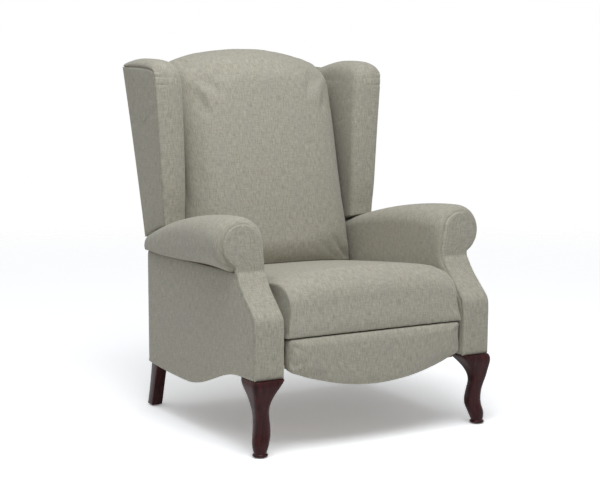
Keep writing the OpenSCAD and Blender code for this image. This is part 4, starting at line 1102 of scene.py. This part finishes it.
# The legs
leg = {
    "footX": 0.357, "footY": 0.017, "back": 0.020, "glide": 0.003, "sides": 32, "inset": 0.004,
    # height share, half width, set-back share along the diagonal, squareness (2 is round)
    "rows": [(1.0, 0.0455, 1.0, 14), (0.994, 0.0456, 0.97, 14), (0.965, 0.0450, 0.80, 12), (0.93, 0.0425, 0.60, 10),
             (0.865, 0.0362, 0.36, 8), (0.79, 0.0290, 0.18, 6), (0.71, 0.0242, 0.07, 4.5), (0.645, 0.0217, 0.08, 3.6),
             (0.58, 0.0205, 0.17, 3.0), (0.50, 0.0208, 0.35, 2.7), (0.41, 0.0220, 0.46, 2.5), (0.33, 0.0231, 0.50, 2.4),
             (0.26, 0.0236, 0.42, 2.3), (0.20, 0.0232, 0.22, 2.2), (0.15, 0.0222, 0.10, 2.2), (0.10, 0.0200, 0.04, 2.1),
             (0.070, 0.0180, 0.0, 2.1), (0.056, 0.0172, 0.0, 2), (0.048, 0.0180, 0.0, 2), (0.042, 0.0205, 0.0, 2),
             (0.030, 0.0214, 0.0, 2), (0.0147, 0.0205, 0.0, 2)],
}


def makeFrontLeg(name):
    # a square drawn down ring by ring, and rounded towards the foot
    first = leg["rows"][0]

    def middle(row):
        d = leg["back"] * row[2]
        return spot(leg["footX"] - d, leg["footY"] + d, max(leg["glide"], chair["legTop"] * row[0]))

    here = middle(first)
    unselect()
    bpy.ops.mesh.primitive_circle_add(vertices=leg["sides"], radius=first[1], fill_type="NGON", location=here)
    piece = opened(name)
    bpy.ops.mesh.inset(thickness=leg["inset"])
    bpy.ops.mesh.select_all(action="SELECT")
    for before, row in zip(leg["rows"], leg["rows"][1:]):
        there = middle(row)
        bpy.ops.mesh.extrude_region_move(TRANSFORM_OT_translate={"value": there - here})
        share = row[1] / before[1]
        bpy.ops.transform.resize(value=(share, share, 1), center_override=there)
        here = there
    closed(piece)
    for v in piece.data.vertices:
        row = min(leg["rows"], key=lambda r: abs(v.co.z - middle(r).z))
        c = middle(row)
        out = Vector((v.co.x - c.x, v.co.y - c.y))
        ca, sa = out.x / out.length, out.y / out.length
        share = 1 / (abs(ca) ** row[3] + abs(sa) ** row[3]) ** (1 / row[3])
        v.co.x, v.co.y = c.x + out.x * share, c.y + out.y * share
    return smoother(piece, 2)


rearLeg = {"half": 0.017, "x": 0.351, "y": 0.669, "kick": 0.042, "kickPower": 1.6, "flare": 0.050, "glide": 0.003,
           "edge": 0.0025, "steps": 14}


def makeRearLeg(name):
    r = rearLeg
    top = chair["legTop"]

    def ends(z):
        u = z / top
        rear = r["y"] + r["kick"] * (1 - u) ** r["kickPower"]
        return rear - 2 * r["half"] - r["flare"] * u ** 4, rear

    y0, y1 = ends(top)
    here, wide = spot(r["x"], (y0 + y1) / 2, top), y1 - y0
    unselect()
    bpy.ops.mesh.primitive_plane_add(size=1, location=here)
    piece = opened(name)
    bpy.ops.transform.resize(value=(2 * r["half"], wide, 1), center_override=here)
    for k in range(1, r["steps"] + 1):
        z = top + (r["glide"] - top) * k / r["steps"]
        y0, y1 = ends(z)
        there = spot(r["x"], (y0 + y1) / 2, z)
        bpy.ops.mesh.extrude_region_move(TRANSFORM_OT_translate={"value": there - here})
        bpy.ops.transform.resize(value=(1, (y1 - y0) / wide, 1), center_override=there)
        here, wide = there, y1 - y0
    closed(piece)
    edge = piece.modifiers.new("edge", "BEVEL")
    edge.width = r["edge"]
    edge.segments = 3
    edge.limit_method = "ANGLE"
    edge.angle_limit = math.radians(40)
    applyAll(piece)
    pickUp(piece)
    bpy.ops.object.shade_smooth_by_angle(angle=math.radians(35))
    return piece


def varnish(piece, nodeName):
    piece.data.materials.clear()
    piece.data.materials.append(mahogany)
    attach(piece, "base")
    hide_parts(nodeName)


frontLegRight = makeFrontLeg("frontLegRight")
frontLegLeft = mirrored(frontLegRight, "frontLegLeft")
rearLegRight = makeRearLeg("rearLegRight")
rearLegLeft = mirrored(rearLegRight, "rearLegLeft")
varnish(frontLegRight, "front_leg_right")
varnish(frontLegLeft, "front_leg_left")
varnish(rearLegRight, "rear_leg_right")
varnish(rearLegLeft, "rear_leg_left")
print("legs done")

# The frame and the mechanism keep their own solids
finishes = {"hardwood": hardwood, "plywood": plywood, "steel": steel, "nylon": nylon, "mahogany": mahogany,
            "fabric": fabric}
slots = {sub["node"]: sub["material_slot"] for sub in frame["record"]["subparts"]}
for name, solid in frame["nodes"].items():
    for place in solid.material_slots:
        place.material = finishes[slots[name]]
print("frame dressed")

# Floor, light and camera
studio = {
    "sun": 0.70, "sunSpread": 60, "sunFrom": (-0.55, -0.45, 4.0), "sky": 0.31,
    "box": 25.2, "boxAt": (-0.42, -1.0, 2.35), "boxAim": (0, 0, 0.6), "boxSize": 1.3,
    "floor": 0.90, "floorRadius": 9.0, "fadeFrom": 2.2, "fadeTo": 5.5,   # the floor fades out between these radii
    "seenFloor": 1.34, "tint": (0.976, 1, 1.030), "glow": 0.20,   # the floor as the camera sees it
}
shot = {"lens": 80.666, "film": 36.0, "place": (-2.01305, -3.41350, 0.969418),
        "tilt": 83.256597, "turn": -30.534498}


def seenRays(tree):
    # 1 for rays from the camera, glossy ones and transmitted ones
    path = node(tree, "ShaderNodeLightPath")
    share = path.outputs["Is Camera Ray"]
    for kind in ("Is Glossy Ray", "Is Transmission Ray"):
        larger = node(tree, "ShaderNodeMath", operation="MAXIMUM")
        tree.links.new(share, larger.inputs[0])
        tree.links.new(path.outputs[kind], larger.inputs[1])
        share = larger.outputs[0]
    return share


def chosen(tree, share, first, second):
    mix = node(tree, "ShaderNodeMixShader")
    for socket, value in zip(mix.inputs, (share, first, second)):
        tree.links.new(value, socket)
    return mix.outputs[0]


def makeFloor():
    unselect()
    bpy.ops.mesh.primitive_circle_add(vertices=64, radius=studio["floorRadius"], fill_type="NGON", location=(0, 0, 0))
    floor = bpy.context.object
    floor.name = "floor"
    mat = bpy.data.materials.new("floor")
    mat.use_nodes = True
    tree = mat.node_tree
    tree.nodes.clear()
    link = tree.links.new
    plain = node(tree, "ShaderNodeBsdfDiffuse", Color=grey(studio["floor"]) + (1,))
    lit = node(tree, "ShaderNodeBsdfDiffuse", Color=tuple(studio["seenFloor"] * v for v in studio["tint"]) + (1,))
    glow = node(tree, "ShaderNodeEmission", Strength=studio["glow"])
    both = node(tree, "ShaderNodeAddShader")
    link(lit.outputs[0], both.inputs[0])
    link(glow.outputs[0], both.inputs[1])
    surface = chosen(tree, seenRays(tree), plain.outputs[0], both.outputs[0])
    away = node(tree, "ShaderNodeVectorMath", operation="LENGTH")
    link(node(tree, "ShaderNodeTexCoord").outputs["Object"], away.inputs[0])
    edge = node(tree, "ShaderNodeMapRange")
    edge.inputs["From Min"].default_value = studio["fadeFrom"]
    edge.inputs["From Max"].default_value = studio["fadeTo"]
    link(away.outputs["Value"], edge.inputs["Value"])
    clear = node(tree, "ShaderNodeBsdfTransparent")
    surface = chosen(tree, edge.outputs["Result"], surface, clear.outputs[0])
    link(surface, node(tree, "ShaderNodeOutputMaterial").inputs["Surface"])
    floor.data.materials.append(mat)


def makeSky():
    world = bpy.data.worlds.new("studio")
    bpy.context.scene.world = world
    world.use_nodes = True
    tree = world.node_tree
    tree.nodes.clear()
    seen = node(tree, "ShaderNodeBackground", Color=(1, 1, 1, 1), Strength=1.0)
    fill = node(tree, "ShaderNodeBackground", Color=(1, 1, 1, 1), Strength=studio["sky"])
    surface = chosen(tree, seenRays(tree), fill.outputs[0], seen.outputs[0])
    tree.links.new(surface, node(tree, "ShaderNodeOutputWorld").inputs["Surface"])


def lamp(name, kind, place, aim, **values):
    data = bpy.data.lights.new(name, kind)
    for key, value in values.items():
        setattr(data, key, value)
    light = bpy.data.objects.new(name, data)
    bpy.context.collection.objects.link(light)
    light.location = place
    light.rotation_euler = (Vector(aim) - Vector(place)).to_track_quat("-Z", "Y").to_euler()
    return light


makeFloor()
makeSky()
lamp("overhead", "SUN", studio["sunFrom"], (0, 0, 0), energy=studio["sun"], angle=math.radians(studio["sunSpread"]))
lamp("softBox", "AREA", studio["boxAt"], studio["boxAim"], energy=studio["box"], size=studio["boxSize"])

view = bpy.data.cameras.new("view")
camera = bpy.data.objects.new("view", view)
bpy.context.collection.objects.link(camera)
view.lens = shot["lens"]
view.sensor_width = shot["film"]
camera.location = shot["place"]
camera.rotation_euler = (math.radians(shot["tilt"]), 0, math.radians(shot["turn"]))
bpy.context.scene.camera = camera
bpy.context.scene.view_settings.view_transform = "Standard"
print("studio ready")
